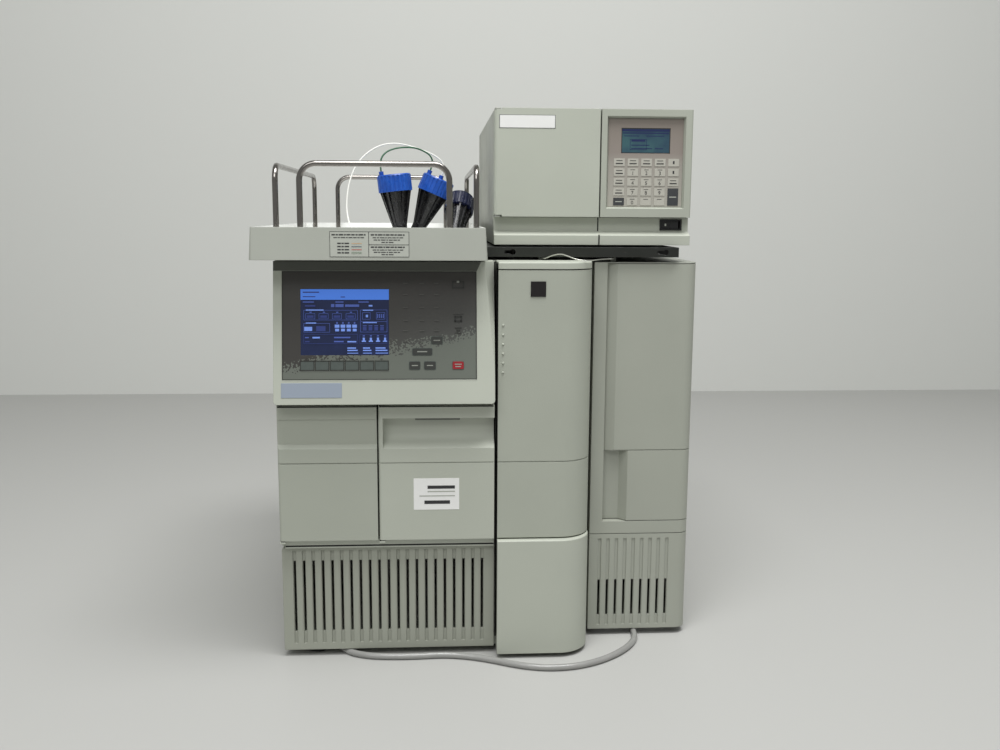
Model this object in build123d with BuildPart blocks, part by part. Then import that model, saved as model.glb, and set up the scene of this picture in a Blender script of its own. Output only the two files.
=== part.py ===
"""A stacked liquid chromatography system: separations module, column heater, detector and solvent tray.

Units are millimetres. +Z is up, +X is to the right of someone who faces the instrument, and -Y is
towards them. The origin is the bottom centre of the whole stack, on the bench.
"""

import os
from math import atan2, degrees, hypot, radians, tan

from build123d import *

os.makedirs("parts", exist_ok=True)

# ---------------------------------------------------------------- driving dimensions
# Separations module
module_width = 441.0
module_depth = 600.0
module_height = 570.0
foot_height = 10.0
foot_radius = 17.0
foot_inset = 45.0
sheet = 2.0                  # folded steel sheet
fascia_depth = 62.0          # how far the plastic front reaches back before the steel cover starts
rear_recess = 8.0            # rear panel set in from the back edge of the cover

# Front layout of the module
tower_width = 135.0
tower_radius = 45.0
bezel_gap = 4.0              # slot between the left-hand fascia and the tower
left_door_width = 137.5
door_gap = 2.0
door_depth = 20.0
door_skin = 3.0
door_bottom = 178.0
door_head_gap = 6.0          # between the doors and the display bezel
trim_drop = 81.5             # the styling groove lies this far under the top of the lower doors
groove = 1.2
hinge_inset = 4.0
pin_radius = 1.5
pin_clearance = 0.1
frame_gap = 1.5              # behind a closed door

# Grille under the doors
grille_height = 153.0
grille_setback = 15.0
grille_thickness = 6.0
slot_width = 3.3
slot_height = 106.0
slot_pitch = 13.4
slot_count = 21

# Display bezel
bezel_height = 192.5
bezel_forward = 22.0         # lower edge stands this far in front of the doors
bezel_lean = 34.0            # the face leans back by this much over its height
bezel_wall = 3.0

# Column heater
heater_gap = 8.0
heater_width = 151.0
heater_depth = 330.0
heater_setback = 68.0
heater_drop = 3.0            # the heater's lid lies this much lower than the module's top
heater_door_bottom = 181.0
heater_door_depth = 20.0
heater_swing = 5.8           # room behind the closed door in which its hinged edge turns

# Detector and its shelf
detector_width = 283.0
detector_depth = 503.0
detector_left = 303.5        # from the module's left side
detector_setback = 70.0
detector_foot = 3.0
detector_height = 190.5
detector_wall = 2.0
detector_door_width = 150.0
shelf_thickness = 1.5
shelf_flange = 14.0
shelf_rise = 18.5            # top of the shelf above the module
shelf_setback = 60.0
shelf_left = 291.0
shelf_width = 278.0
shelf_depth = 470.0

# Solvent tray
tray_overhang = 24.0
tray_forward = 38.0
tray_width = 308.0
tray_depth = 568.0
tray_height = 43.0
tray_pad = 3.5
tray_wall = 2.0
tray_flare = 2.7             # the sides spread outwards by this much towards the bottom
rail_radius = 4.0
rail_bend = 22.0
rail_rise = 133.0            # top of the rails above the module

# ---------------------------------------------------------------- derived places
overall_width = tray_overhang + module_width + heater_gap + heater_width
overall_depth = tray_forward + module_depth
x_left = -overall_width / 2 + tray_overhang
x_right = x_left + module_width
y_front = -overall_depth / 2 + tray_forward
y_back = y_front + module_depth
y_rear_panel = y_back - rear_recess
shelf_top = module_height + shelf_rise
detector_base_z = shelf_top + detector_foot
y_cover = y_front + fascia_depth
base_z = foot_height
grille_top = base_z + grille_height
bezel_bottom = module_height - bezel_height
door_top = bezel_bottom - door_head_gap
trim_line = door_top - trim_drop
tower_left = x_right - tower_width
fascia_right = tower_left - bezel_gap
divider_left = fascia_right + (bezel_gap - sheet) / 2
deck_z = grille_top + 5.0
upper_deck_z = bezel_bottom - 3.5
y_door_back = y_front + door_depth
y_frame = y_door_back + frame_gap


def block(low, high, mode=Mode.ADD):
    """A plain box between its lowest and highest corners."""
    size = [b - a for a, b in zip(low, high)]
    with Locations([tuple((a + b) / 2 for a, b in zip(low, high))]):
        Box(*size, mode=mode)


def save(piece, name):
    """Name a finished sub-part and write its STEP file."""
    piece.part.label = name
    export_step(piece.part, "parts/" + name + ".step")


def bulkhead_fitting(place, floor_z):
    """A small block on a top panel; the middle of its front face is at place."""
    block(
        (place[0] - fitting_size[0] / 2, place[1], floor_z),
        (place[0] + fitting_size[0] / 2, place[1] + fitting_size[1], module_height + fitting_size[2]),
    )


def side_profile(points, x):
    """A closed outline of (y, z) points standing in the plane at x, facing +X."""
    with BuildSketch(Plane.YZ.offset(x)) as outline:
        with BuildLine():
            Polyline(*points, close=True)
        make_face()
    return outline.sketch


# ---------------------------------------------------------------- cabinet of the module
outlet_width = 13.0
outlet_clear = 1.0
drain_x = x_left + 70.0
drain_y = y_front + 76.0
# Small bulkhead fittings that the two ends of the capillary are screwed into.
fitting_size = (8.0, 10.0, 4.4)
capillary_from = (x_left + 372.0, y_front + 78.0)
capillary_to = (x_left + 478.0, y_front + 82.0)

# Steel floor pan with an upturned rim.
pan_rim = 20.0
y_pan = y_front + grille_setback + grille_thickness + 1.0
with BuildPart() as base_pan:
    block((x_left + sheet, y_pan, base_z), (x_right - sheet, y_rear_panel - sheet, base_z + pan_rim))
    block(
        (x_left + 2 * sheet, y_pan + sheet, base_z + sheet),
        (x_right - 2 * sheet, y_rear_panel - 2 * sheet, base_z + pan_rim),
        mode=Mode.SUBTRACT,
    )
    # The front right corner makes room for the tower's lower cover.
    block(
        (x_right - 10, y_pan - 1, base_z - 1),
        (x_right, y_cover, base_z + pan_rim + 1),
        mode=Mode.SUBTRACT,
    )
    # Drain outlet under the pan, which the hose is pushed onto.
    block(
        (drain_x - outlet_width / 2, drain_y, outlet_clear),
        (drain_x + outlet_width / 2, drain_y + outlet_width, base_z),
    )
save(base_pan, "base_pan")

# Four rubber feet.
with BuildPart() as leveling_feet:
    with BuildSketch():
        with Locations(((x_left + x_right) / 2, (y_front + y_back) / 2)):
            with GridLocations(module_width - 2 * foot_inset, module_depth - 2 * foot_inset, 2, 2):
                Circle(foot_radius)
    extrude(amount=foot_height)
    chamfer(leveling_feet.edges().filter_by(GeomType.CIRCLE).group_by(Axis.Z)[0], 1.5)
save(leveling_feet, "leveling_feet")

# Steel cover: both sides and the top, folded from one sheet.
cover_corner = 6.0
with BuildPart() as cabinet_cover:
    with BuildSketch(Plane.XZ.offset(-y_cover)):
        with Locations(((x_left + x_right) / 2, (base_z + module_height) / 2)):
            cover_outer = Rectangle(module_width, module_height - base_z)
        fillet(cover_outer.vertices().group_by(Axis.Y)[-1], cover_corner)
        with Locations(((x_left + x_right) / 2, (base_z + module_height) / 2 - sheet)):
            Rectangle(module_width - 2 * sheet, module_height - base_z, mode=Mode.SUBTRACT)
    extrude(amount=-(y_back - y_cover))
    bulkhead_fitting(capillary_from, module_height)
save(cabinet_cover, "cabinet_cover")

# Rear panel with the fan opening and a field of vent slots.
fan_x = x_left + 320.0
fan_z = 120.0
fan_radius = 40.0
fan_frame_size = 92.0
with BuildPart() as rear_panel:
    block(
        (x_left + sheet, y_rear_panel - sheet, base_z),
        (x_right - sheet, y_rear_panel, module_height - sheet),
    )
    with BuildSketch(Plane.XZ.offset(-y_rear_panel)):
        with Locations((fan_x, fan_z)):
            Circle(fan_radius)
        with Locations((x_left + 130, 120)):
            with GridLocations(14, 1, 10, 1):
                SlotOverall(70, 5, rotation=90)
    extrude(amount=sheet, mode=Mode.SUBTRACT)
save(rear_panel, "rear_panel")

# Welded inner chassis: the wall between the bays and the tower, and the decks that carry them.
bay_depth = 260.0
tower_shell = 4.0
tower_lower_top = door_bottom - 1.0
tower_deck_z = tower_lower_top - tower_shell - sheet
cap_thickness = 9.5
cap_bottom = module_height - cap_thickness
y_bay_back = y_front + bay_depth
left_bay_right = x_left + left_door_width
syringe_wall = left_bay_right + door_gap / 2 - sheet / 2
with BuildPart() as inner_chassis:
    block(
        (divider_left, y_front + 4, base_z + pan_rim),
        (divider_left + sheet, y_bay_back, module_height - sheet),
    )
    block((x_left + sheet, y_frame + 26, deck_z), (divider_left, y_bay_back, deck_z + sheet))
    block((x_left + sheet, y_frame + 26, upper_deck_z), (divider_left, y_bay_back, upper_deck_z + sheet))
    block((x_left + sheet, y_bay_back - sheet, deck_z), (divider_left, y_bay_back, upper_deck_z))
    block((syringe_wall, y_frame + 26, deck_z), (syringe_wall + sheet, y_bay_back, upper_deck_z))
    # Deck of the tower, on the ledge of the lower cover.
    block((divider_left, y_front + 42, tower_deck_z), (x_right - 8, y_bay_back, tower_deck_z + sheet))
    # Flange that closes the slot behind the edge of the tower door.
    block((x_right - 24, y_cover, tower_deck_z), (x_right - sheet, y_cover + sheet, cap_bottom))
save(inner_chassis, "inner_chassis")

# ---------------------------------------------------------------- front frame and grille
frame_wall = 8.0
frame_back = y_frame + 25.0
opening_bottom = door_bottom + frame_wall
opening_top = door_top - frame_wall
left_opening = (x_left + frame_wall, left_bay_right - frame_wall + door_gap / 2)
sample_left = left_bay_right + door_gap
sample_opening = (sample_left + frame_wall, fascia_right - frame_wall)
hinge_tab = 3.0
with BuildPart() as front_frame:
    block((x_left, y_frame, deck_z - 3), (fascia_right, frame_back, upper_deck_z))
    for low_x, high_x in (left_opening, sample_opening):
        block((low_x, y_frame, opening_bottom), (high_x, frame_back, opening_top), mode=Mode.SUBTRACT)
    # Sill that shows as a strip under the doors.
    block((x_left + 6, y_front + 8, deck_z - 3), (fascia_right, y_frame, door_bottom - 1.5))
    # Tabs that carry the hinge pins above and below each door.
    for door_x in (x_left, sample_left):
        for low_z in (door_bottom - 1 - hinge_tab, door_top + 1):
            block((door_x, y_front, low_z), (door_x + 2 * hinge_inset, y_frame, low_z + hinge_tab))
save(front_frame, "front_frame")

# Slatted grille: a row of tall grooves, each open through the panel over most of its height.
grille_right = divider_left - 0.5
y_grille = y_front + grille_setback
with BuildPart() as lower_grille:
    with BuildSketch(Plane.XZ.offset(-y_grille)):
        with Locations(((x_left + grille_right) / 2, base_z + grille_height / 2)):
            grille_face = Rectangle(grille_right - x_left, grille_height)
        fillet(grille_face.vertices().group_by(Axis.X)[0], 3)
    extrude(amount=-grille_thickness)
    with BuildSketch(Plane.XZ.offset(-y_grille)):
        with Locations(((x_left + grille_right) / 2, base_z + grille_height / 2 + 3)):
            with GridLocations(slot_pitch, 1, slot_count, 1):
                Rectangle(slot_width + 1.6, grille_height - 14)
    extrude(amount=-2, mode=Mode.SUBTRACT)
    with BuildSketch(Plane.XZ.offset(-y_grille)):
        with Locations(((x_left + grille_right) / 2, base_z + grille_height / 2 + 4)):
            with GridLocations(slot_pitch, 1, slot_count, 1):
                Rectangle(slot_width, slot_height)
    extrude(amount=-grille_thickness, mode=Mode.SUBTRACT)
    # Side return that meets the cabinet.
    block((x_left, y_grille + grille_thickness, base_z + 3), (x_left + sheet, y_cover, grille_top - 3))
save(lower_grille, "lower_grille")

# ---------------------------------------------------------------- display bezel
# The face leans back; its frame has x along the width and y up the slope, from the lower left corner.
bezel_width = fascia_right - x_left - 1.0
bezel_slope = hypot(bezel_lean, bezel_height)
y_bezel = y_front - bezel_forward
y_bezel_back = y_cover
face_normal = (0, -bezel_height / bezel_slope, bezel_lean / bezel_slope)
bezel_face = Plane(origin=(x_left, y_bezel, bezel_bottom), x_dir=(1, 0, 0), z_dir=face_normal)
bezel_outline = [
    (y_bezel, bezel_bottom),
    (y_bezel + bezel_lean, module_height),
    (y_bezel_back, module_height),
    (y_bezel_back, bezel_bottom),
]


def bevel_plane(inset):
    """The plane of the bevel that widens up the right-hand edge of the bezel, moved inwards by inset."""
    x_side = x_left + bezel_width
    low_point = Vector(x_side, y_bezel + bezel_lean * 0.22, bezel_bottom + bezel_height * 0.22)
    top_face = Vector(x_side - 13, y_bezel + bezel_lean, module_height)
    top_side = Vector(x_side, y_bezel + bezel_lean + 15, module_height)
    normal = (top_face - low_point).cross(top_side - low_point).normalized()
    if normal.X < 0:
        normal = normal * -1
    return Plane(origin=low_point - normal * inset, z_dir=normal)


overlay_size = (264.3, 148.4)
overlay_corner = (11.8, 33.7)
overlay_depth = 1.0
with BuildPart() as bezel_cavity:
    with BuildSketch(Plane.YZ.offset(x_left + bezel_wall)):
        with BuildLine():
            Polyline(*bezel_outline, close=True)
        make_face()
        offset(amount=-bezel_wall, kind=Kind.INTERSECTION)
        with Locations((y_bezel_back, (bezel_bottom + module_height) / 2)):
            Rectangle(3 * bezel_wall, bezel_height - 2 * bezel_wall)
    extrude(amount=bezel_width - 2 * bezel_wall)
    split(bisect_by=bevel_plane(bezel_wall), keep=Keep.BOTTOM)

with BuildPart() as display_bezel:
    extrude(side_profile(bezel_outline, x_left), amount=bezel_width)
    fillet(
        display_bezel.edges().filter_by(Axis.X, reverse=True).filter_by(Axis.Y).group_by(Axis.Z)[0], 5
    )
    split(bisect_by=bevel_plane(0), keep=Keep.BOTTOM)
    add(bezel_cavity.part, mode=Mode.SUBTRACT)
    with BuildSketch(bezel_face):
        with Locations((overlay_corner[0] + overlay_size[0] / 2, overlay_corner[1] + overlay_size[1] / 2)):
            Rectangle(*overlay_size)
    extrude(amount=-overlay_depth, mode=Mode.SUBTRACT)
save(display_bezel, "display_bezel")

screen_size = (119.3, 90.0)
screen_corner = (37.0, 67.5)
with BuildPart() as keypad_overlay:
    with BuildSketch(bezel_face.offset(-overlay_depth)):
        with Locations((overlay_corner[0] + overlay_size[0] / 2, overlay_corner[1] + overlay_size[1] / 2)):
            Rectangle(*overlay_size)
        with Locations((screen_corner[0] + screen_size[0] / 2, screen_corner[1] + screen_size[1] / 2)):
            Rectangle(*screen_size, mode=Mode.SUBTRACT)
    extrude(amount=overlay_depth)
save(keypad_overlay, "keypad_overlay")

with BuildPart() as display_screen:
    with BuildSketch(bezel_face.offset(-overlay_depth)):
        with Locations((screen_corner[0] + screen_size[0] / 2, screen_corner[1] + screen_size[1] / 2)):
            Rectangle(*screen_size)
    extrude(amount=overlay_depth - 0.4)
save(display_screen, "display_screen")

# Embossed membrane keys: six under the screen and five on the right (left, bottom, width, height).
key_rise = 0.6
key_height = 11.6
soft_key_width = 17.6
soft_key_pitch = 20.1
other_keys = (
    (213.2, 82.0, 16.4, 11.0),
    (187.7, 66.9, 27.7, 10.2),
    (183.3, 47.4, 15.6, key_height),
    (203.6, 47.4, 16.5, key_height),
    (242.3, 47.4, 16.3, key_height),
)
with BuildPart() as display_keys:
    with BuildSketch(bezel_face):
        for number in range(6):
            with Locations((37 + soft_key_width / 2 + number * soft_key_pitch, 53.2)):
                RectangleRounded(soft_key_width, key_height, 2)
        for left, bottom, width, height in other_keys:
            with Locations((left + width / 2, bottom + height / 2)):
                RectangleRounded(width, height, 2)
    extrude(amount=key_rise)
save(display_keys, "display_keys")

# ---------------------------------------------------------------- tower
tower_forward = 8.0          # the lower cover stands this far in front of the door
tower_lower_bottom = 7.0
tower_door_bottom = door_bottom + 1.0
tower_door_top = cap_bottom - 1.5
wrap_end = y_front + 56.0    # the door's side ends here


def tower_outline(z, inset, forward, rear):
    """Plan of the tower: a square left corner and a large round right-hand front corner."""
    left = tower_left + inset
    right = x_right - inset
    front = y_front - forward + inset
    radius = tower_radius - inset
    with BuildSketch(Plane.XY.offset(z)) as outline:
        with BuildLine():
            Line((left, rear), (left, front))
            Line((left, front), (right - radius, front))
            CenterArc((right - radius, front + radius), radius, -90, 90)
            Line((right, front + radius), (right, rear))
            Line((right, rear), (left, rear))
        make_face()
    return outline.sketch


with BuildPart() as tower_cap:
    extrude(tower_outline(cap_bottom, 0, 0.5, y_cover), amount=cap_thickness)
    fillet(tower_cap.faces().sort_by(Axis.Z)[-1].edges().sort_by(Axis.Y)[:3], 2)
save(tower_cap, "tower_cap")

lower_cover_height = tower_lower_top - tower_lower_bottom
with BuildPart() as tower_lower_cover:
    extrude(tower_outline(tower_lower_bottom, 0, tower_forward, y_cover), amount=lower_cover_height)
    chamfer(tower_lower_cover.faces().sort_by(Axis.Z)[-1].edges().sort_by(Axis.Y)[:2], 1.5)
    extrude(
        tower_outline(tower_lower_bottom, tower_shell, tower_forward, y_cover + 1),
        amount=lower_cover_height - tower_shell,
        mode=Mode.SUBTRACT,
    )
    # Behind the grille the left-hand wall is cut away for the floor pan and the deck.
    block(
        (tower_left - 1, y_pan - 1, tower_lower_bottom - 1),
        (tower_left + tower_shell + 1, y_cover + 1, tower_lower_top - tower_shell),
        mode=Mode.SUBTRACT,
    )
save(tower_lower_cover, "tower_lower_cover")

tower_axis = (x_right - 4.0, wrap_end + 1.0)
ear_radius = 4.0
ear_height = 8.0
tower_door_height = tower_door_top - tower_door_bottom
nub_radius = 1.8
nub_pitch = 13.2
nub_low = 417.3
with BuildPart() as tower_door:
    extrude(tower_outline(tower_door_bottom, 0, 0, wrap_end), amount=tower_door_height)
    extrude(
        tower_outline(tower_door_bottom + tower_shell, tower_shell, 0, wrap_end + 1),
        amount=tower_door_height - 2 * tower_shell,
        mode=Mode.SUBTRACT,
    )
    # The left-hand edge is only a narrow return, and the top and bottom walls are cut back behind it.
    block(
        (tower_left - 1, y_front + 12, tower_door_bottom - 1),
        (x_right - tower_shell - 12, wrap_end + 1, tower_door_top + 1),
        mode=Mode.SUBTRACT,
    )
    # Styling groove round the front and the corner.
    with BuildSketch(Plane.XY.offset(trim_line - groove / 2)):
        add(tower_outline(trim_line - groove / 2, -1, 0, wrap_end + 1))
        add(tower_outline(trim_line - groove / 2, groove, 0, wrap_end + 1), mode=Mode.SUBTRACT)
    extrude(amount=groove, mode=Mode.SUBTRACT)
    # Ears for the hinge pins at the top and bottom of the wrapped edge.
    for low_z in (tower_door_bottom, tower_door_top - ear_height):
        with Locations((*tower_axis, low_z + ear_height / 2)):
            Cylinder(ear_radius, ear_height)
            Cylinder(pin_radius + pin_clearance, ear_height, mode=Mode.SUBTRACT)
    # Six small grip nubs by the free edge.
    for number in range(6):
        with Locations((tower_left + 6.7, y_front, nub_low + number * nub_pitch)):
            Sphere(nub_radius)
save(tower_door, "tower_door")

badge_size = 21.0
with BuildPart() as tower_badge:
    with BuildSketch(Plane.XZ.offset(-y_front)):
        with Locations((tower_left + 54.9, tower_door_top - 25.7)):
            Rectangle(badge_size, badge_size)
    extrude(amount=1.2)
save(tower_badge, "tower_badge")

# ---------------------------------------------------------------- lower doors
# Both are moulded trays, open at the back, that turn on pins at their left edge.
boss = 10.0
pin_length = 8.0


def door_blank(left, width):
    """The tray of a lower door with its rounded hinge edge, pin bosses and styling groove."""
    right = left + width
    block((left, y_front, door_bottom), (right, y_door_back, door_top))
    upright = edges().filter_by(Axis.Z)
    fillet(upright.sort_by(lambda e: (e.center().Y, e.center().X))[0], hinge_inset)


def hinge_holes(left, low_z, high_z):
    """Blind holes for the two pins, drilled into the ends of a door along its hinge line."""
    for end_z in (low_z, high_z):
        with Locations((left + hinge_inset, y_front + hinge_inset, end_z)):
            Cylinder(pin_radius + pin_clearance, 2 * (pin_length + 1), mode=Mode.SUBTRACT)


def trim_groove(left, right):
    """The shallow styling groove across the front of a door."""
    block(
        (left - 1, y_front - 1, trim_line - groove / 2),
        (right + 1, y_front + groove, trim_line + groove / 2),
        mode=Mode.SUBTRACT,
    )


# Left-hand door: a long shallow relief runs down from a groove to a ledge.
relief_top = door_top - 19.0
relief_bottom = door_top - 61.0
relief_depth = 5.0
left_door_right = x_left + left_door_width
with BuildPart() as left_door:
    door_blank(x_left, left_door_width)
    hollow = [
        (y_door_back + 1, door_bottom + door_skin),
        (y_front + door_skin, door_bottom + door_skin),
        (y_front + door_skin, relief_bottom - 4),
        (y_front + door_skin + relief_depth, relief_bottom + 3),
        (y_front + door_skin + relief_depth, door_top - door_skin),
        (y_door_back + 1, door_top - door_skin),
    ]
    extrude(
        side_profile(hollow, x_left + boss),
        amount=left_door_width - boss - door_skin,
        mode=Mode.SUBTRACT,
    )
    relief = [
        (y_front - 1, relief_top),
        (y_front + 1.5, relief_top),
        (y_front + relief_depth, relief_bottom + 6),
        (y_front, relief_bottom),
        (y_front - 1, relief_bottom),
    ]
    extrude(side_profile(relief, x_left - 1), amount=left_door_width + 2, mode=Mode.SUBTRACT)
    trim_groove(x_left, left_door_right)
    hinge_holes(x_left, door_bottom, door_top)
save(left_door, "left_door")

# Sample door: a deep finger scoop, open at the right, with a latch paddle in its roof.
sample_door_width = fascia_right - 0.5 - sample_left
sample_right = sample_left + sample_door_width
scoop_top = door_top - 18.0
scoop_bottom = door_top - 61.0
scoop_depth = 16.0
scoop_left = sample_left + 6.5
latch_left = x_left + 190.0
latch_width = 64.0
latch_slot_front = y_front + 6.0
latch_slot_back = y_front + 12.5
latch_axis = (y_front + 8.5, scoop_top + 8.0)
latch_plate = 2.0
trunnion = 2.5
with BuildPart() as sample_door:
    door_blank(sample_left, sample_door_width)
    low_hollow = [
        (y_door_back + 1, door_bottom + door_skin),
        (y_front + door_skin, door_bottom + door_skin),
        (y_front + door_skin, scoop_bottom - 2),
        (y_front + scoop_depth, scoop_bottom + 13),
        (y_door_back + 1, scoop_bottom + 13),
    ]
    high_hollow = [
        (y_door_back + 1, scoop_top + door_skin),
        (y_front + door_skin, scoop_top + door_skin),
        (y_front + door_skin, door_top - door_skin),
        (y_door_back + 1, door_top - door_skin),
    ]
    for outline in (low_hollow, high_hollow):
        extrude(
            side_profile(outline, sample_left + boss),
            amount=sample_door_width - boss - door_skin,
            mode=Mode.SUBTRACT,
        )
    with BuildSketch(Plane.YZ.offset(scoop_left)):
        with BuildLine():
            Line((y_front - 1, scoop_top), (y_front + scoop_depth, scoop_top))
            Line((y_front + scoop_depth, scoop_top), (y_front + scoop_depth, scoop_bottom + 24))
            Spline(
                (y_front + scoop_depth, scoop_bottom + 24),
                (y_front + scoop_depth - 3, scoop_bottom + 13),
                (y_front, scoop_bottom),
                tangents=[(0, -1), (-1, -1.1)],
            )
            Line((y_front, scoop_bottom), (y_front - 1, scoop_bottom))
            Line((y_front - 1, scoop_bottom), (y_front - 1, scoop_top))
        make_face()
    extrude(amount=sample_right - scoop_left + 1, mode=Mode.SUBTRACT)
    block(
        (latch_left, latch_slot_front, scoop_top - 1),
        (latch_left + latch_width, latch_slot_back, scoop_top + door_skin + 1),
        mode=Mode.SUBTRACT,
    )
    # Brackets in the head of the door that carry the latch.
    for bracket_left in (latch_left - 4, latch_left + latch_width):
        block(
            (bracket_left, y_front + door_skin, scoop_top + door_skin),
            (bracket_left + 4, y_front + 15, door_top - door_skin),
        )
    with BuildSketch(Plane.YZ.offset(latch_left - trunnion - pin_clearance)):
        with Locations(latch_axis):
            Circle(pin_radius + pin_clearance)
    extrude(amount=latch_width + 2 * (trunnion + pin_clearance), mode=Mode.SUBTRACT)
    trim_groove(sample_left, sample_right)
    hinge_holes(sample_left, door_bottom, door_top)
save(sample_door, "sample_door")

# Latch paddle: a small plate on two trunnions that swings back into the door.
with BuildPart() as sample_latch:
    block(
        (latch_left + 0.7, latch_axis[0] - latch_plate / 2, scoop_top - 4),
        (latch_left + latch_width - 0.7, latch_axis[0] + latch_plate / 2, latch_axis[1]),
    )
    with BuildSketch(Plane.YZ.offset(latch_left + 0.7)):
        with Locations(latch_axis):
            Circle(2.0)
    extrude(amount=latch_width - 1.4)
    with BuildSketch(Plane.YZ.offset(latch_left - trunnion)):
        with Locations(latch_axis):
            Circle(pin_radius)
    extrude(amount=latch_width + 2 * trunnion)
save(sample_latch, "sample_latch")

# ---------------------------------------------------------------- left bay: syringe drive
syringe_x = x_left + left_door_width / 2
syringe_y = y_front + 95.0
syringe_radius = 9.0
syringe_bore = 6.0
syringe_low = deck_z + 67.0
syringe_high = upper_deck_z - 56.0
bracket_height = 12.0
with BuildPart() as syringe_drive:
    block(
        (syringe_x - 42, y_front + 130, deck_z + sheet),
        (syringe_x + 42, y_bay_back - sheet, upper_deck_z - 22),
    )
    fillet(syringe_drive.edges().filter_by(Axis.Z).group_by(Axis.Y)[0], 4)
    # Upper bracket holds the barrel; the lower one guides the plunger rod.
    for low_z in (syringe_high, syringe_low - 45):
        block(
            (syringe_x - 14, syringe_y - 14, low_z),
            (syringe_x + 14, y_front + 131, low_z + bracket_height),
        )
    with Locations((syringe_x, syringe_y, syringe_low - 45 + bracket_height / 2)):
        Cylinder(4.2, bracket_height + 2, mode=Mode.SUBTRACT)
    # Clamp that holds the lower end of the barrel.
    block((syringe_x - 14, syringe_y - 12, syringe_low), (syringe_x + 14, y_front + 131, syringe_low + 8))
    with Locations((syringe_x, syringe_y, syringe_low + 4)):
        Cylinder(syringe_radius, 10, mode=Mode.SUBTRACT)
save(syringe_drive, "syringe_drive")

with BuildPart() as syringe_barrel:
    with Locations((syringe_x, syringe_y, (syringe_low + syringe_high) / 2)):
        Cylinder(syringe_radius, syringe_high - syringe_low)
        Cylinder(syringe_bore, syringe_high - syringe_low - 8, mode=Mode.SUBTRACT)
    with Locations((syringe_x, syringe_y, syringe_low + 4)):
        Cylinder(syringe_bore, 8.5, mode=Mode.SUBTRACT)
save(syringe_barrel, "syringe_barrel")

plunger_up = 9.0             # free travel of the plunger from where it stands
plunger_down = 14.0
plunger_head_z = syringe_high - 5.0 - plunger_up
plunger_foot_z = deck_z + sheet + 3.0 + plunger_down
with BuildPart() as syringe_plunger:
    with BuildSketch(Plane.XY.offset(plunger_head_z - 8)):
        with Locations((syringe_x, syringe_y)):
            Circle(syringe_bore - 0.1)
    extrude(amount=8)
    with BuildSketch(Plane.XY.offset(plunger_foot_z)):
        with Locations((syringe_x, syringe_y)):
            Circle(4.0)
    extrude(amount=plunger_head_z - 8 - plunger_foot_z)
save(syringe_plunger, "syringe_plunger")

# ---------------------------------------------------------------- sample bay: cooled chamber and carousel
chamber_wall = 5.0
chamber_left = sample_left + 3.0
chamber_right = fascia_right - 3.0
chamber_bottom = deck_z + sheet
chamber_top = upper_deck_z
wheel_radius = 66.0
wheel_x = (chamber_left + chamber_right) / 2
wheel_y = frame_back + wheel_radius + 22.0
wheel_z = chamber_bottom + chamber_wall + 6.0
spindle_radius = 8.0
with BuildPart() as sample_chamber:
    block((chamber_left, frame_back, chamber_bottom), (chamber_right, y_bay_back - sheet, chamber_top))
    block(
        (chamber_left + chamber_wall, frame_back - 1, chamber_bottom + chamber_wall),
        (chamber_right - chamber_wall, y_bay_back - sheet - chamber_wall, chamber_top - chamber_wall),
        mode=Mode.SUBTRACT,
    )
    with BuildSketch(Plane.XY.offset(chamber_bottom + chamber_wall)):
        with Locations((wheel_x, wheel_y)):
            Circle(spindle_radius)
    extrude(amount=52)
    with BuildSketch(Plane.XY.offset(chamber_bottom + chamber_wall)):
        with Locations((wheel_x, wheel_y)):
            Circle(spindle_radius + 6)
    extrude(amount=wheel_z - chamber_bottom - chamber_wall)
save(sample_chamber, "sample_chamber")

# Carousel: a floor disc and a drilled upper disc on a hub, with one ring of vial pockets.
vial_count = 20
vial_circle = 55.0
vial_radius = 6.0
vial_height = 32.0
disc_thickness = 4.0
rack_z = wheel_z + 20.0
with BuildPart() as carousel_wheel:
    with BuildSketch(Plane.XY.offset(wheel_z)):
        with Locations((wheel_x, wheel_y)):
            Circle(wheel_radius)
    extrude(amount=disc_thickness)
    with BuildSketch(Plane.XY.offset(rack_z)):
        with Locations((wheel_x, wheel_y)):
            Circle(wheel_radius)
            with PolarLocations(vial_circle, vial_count):
                Circle(vial_radius + 0.3, mode=Mode.SUBTRACT)
    extrude(amount=disc_thickness)
    with BuildSketch(Plane.XY.offset(wheel_z)):
        with Locations((wheel_x, wheel_y)):
            Circle(spindle_radius + 6)
    extrude(amount=40)
    with Locations((wheel_x, wheel_y, wheel_z + 20)):
        Cylinder(spindle_radius + pin_clearance, 42, mode=Mode.SUBTRACT)
save(carousel_wheel, "carousel_wheel")

with BuildPart() as sample_vials:
    with BuildSketch(Plane.XY.offset(wheel_z + disc_thickness)):
        with Locations((wheel_x, wheel_y)):
            with PolarLocations(vial_circle, vial_count):
                Circle(vial_radius)
    extrude(amount=vial_height)
save(sample_vials, "sample_vials")

# ---------------------------------------------------------------- tower: fluidics behind the door
fluidics_y = y_front + 112.0
panel_thickness = 3.0
pump_z = 300.0
pump_radius = 20.0
pump_length = 44.0
pump_places = ((tower_left + 38, pump_z), (tower_left + 97, pump_z))
with BuildPart() as fluidics_panel:
    block(
        (tower_left + 2, fluidics_y, tower_deck_z + sheet),
        (x_right - sheet - 1, fluidics_y + panel_thickness, cap_bottom),
    )
save(fluidics_panel, "fluidics_panel")

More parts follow.
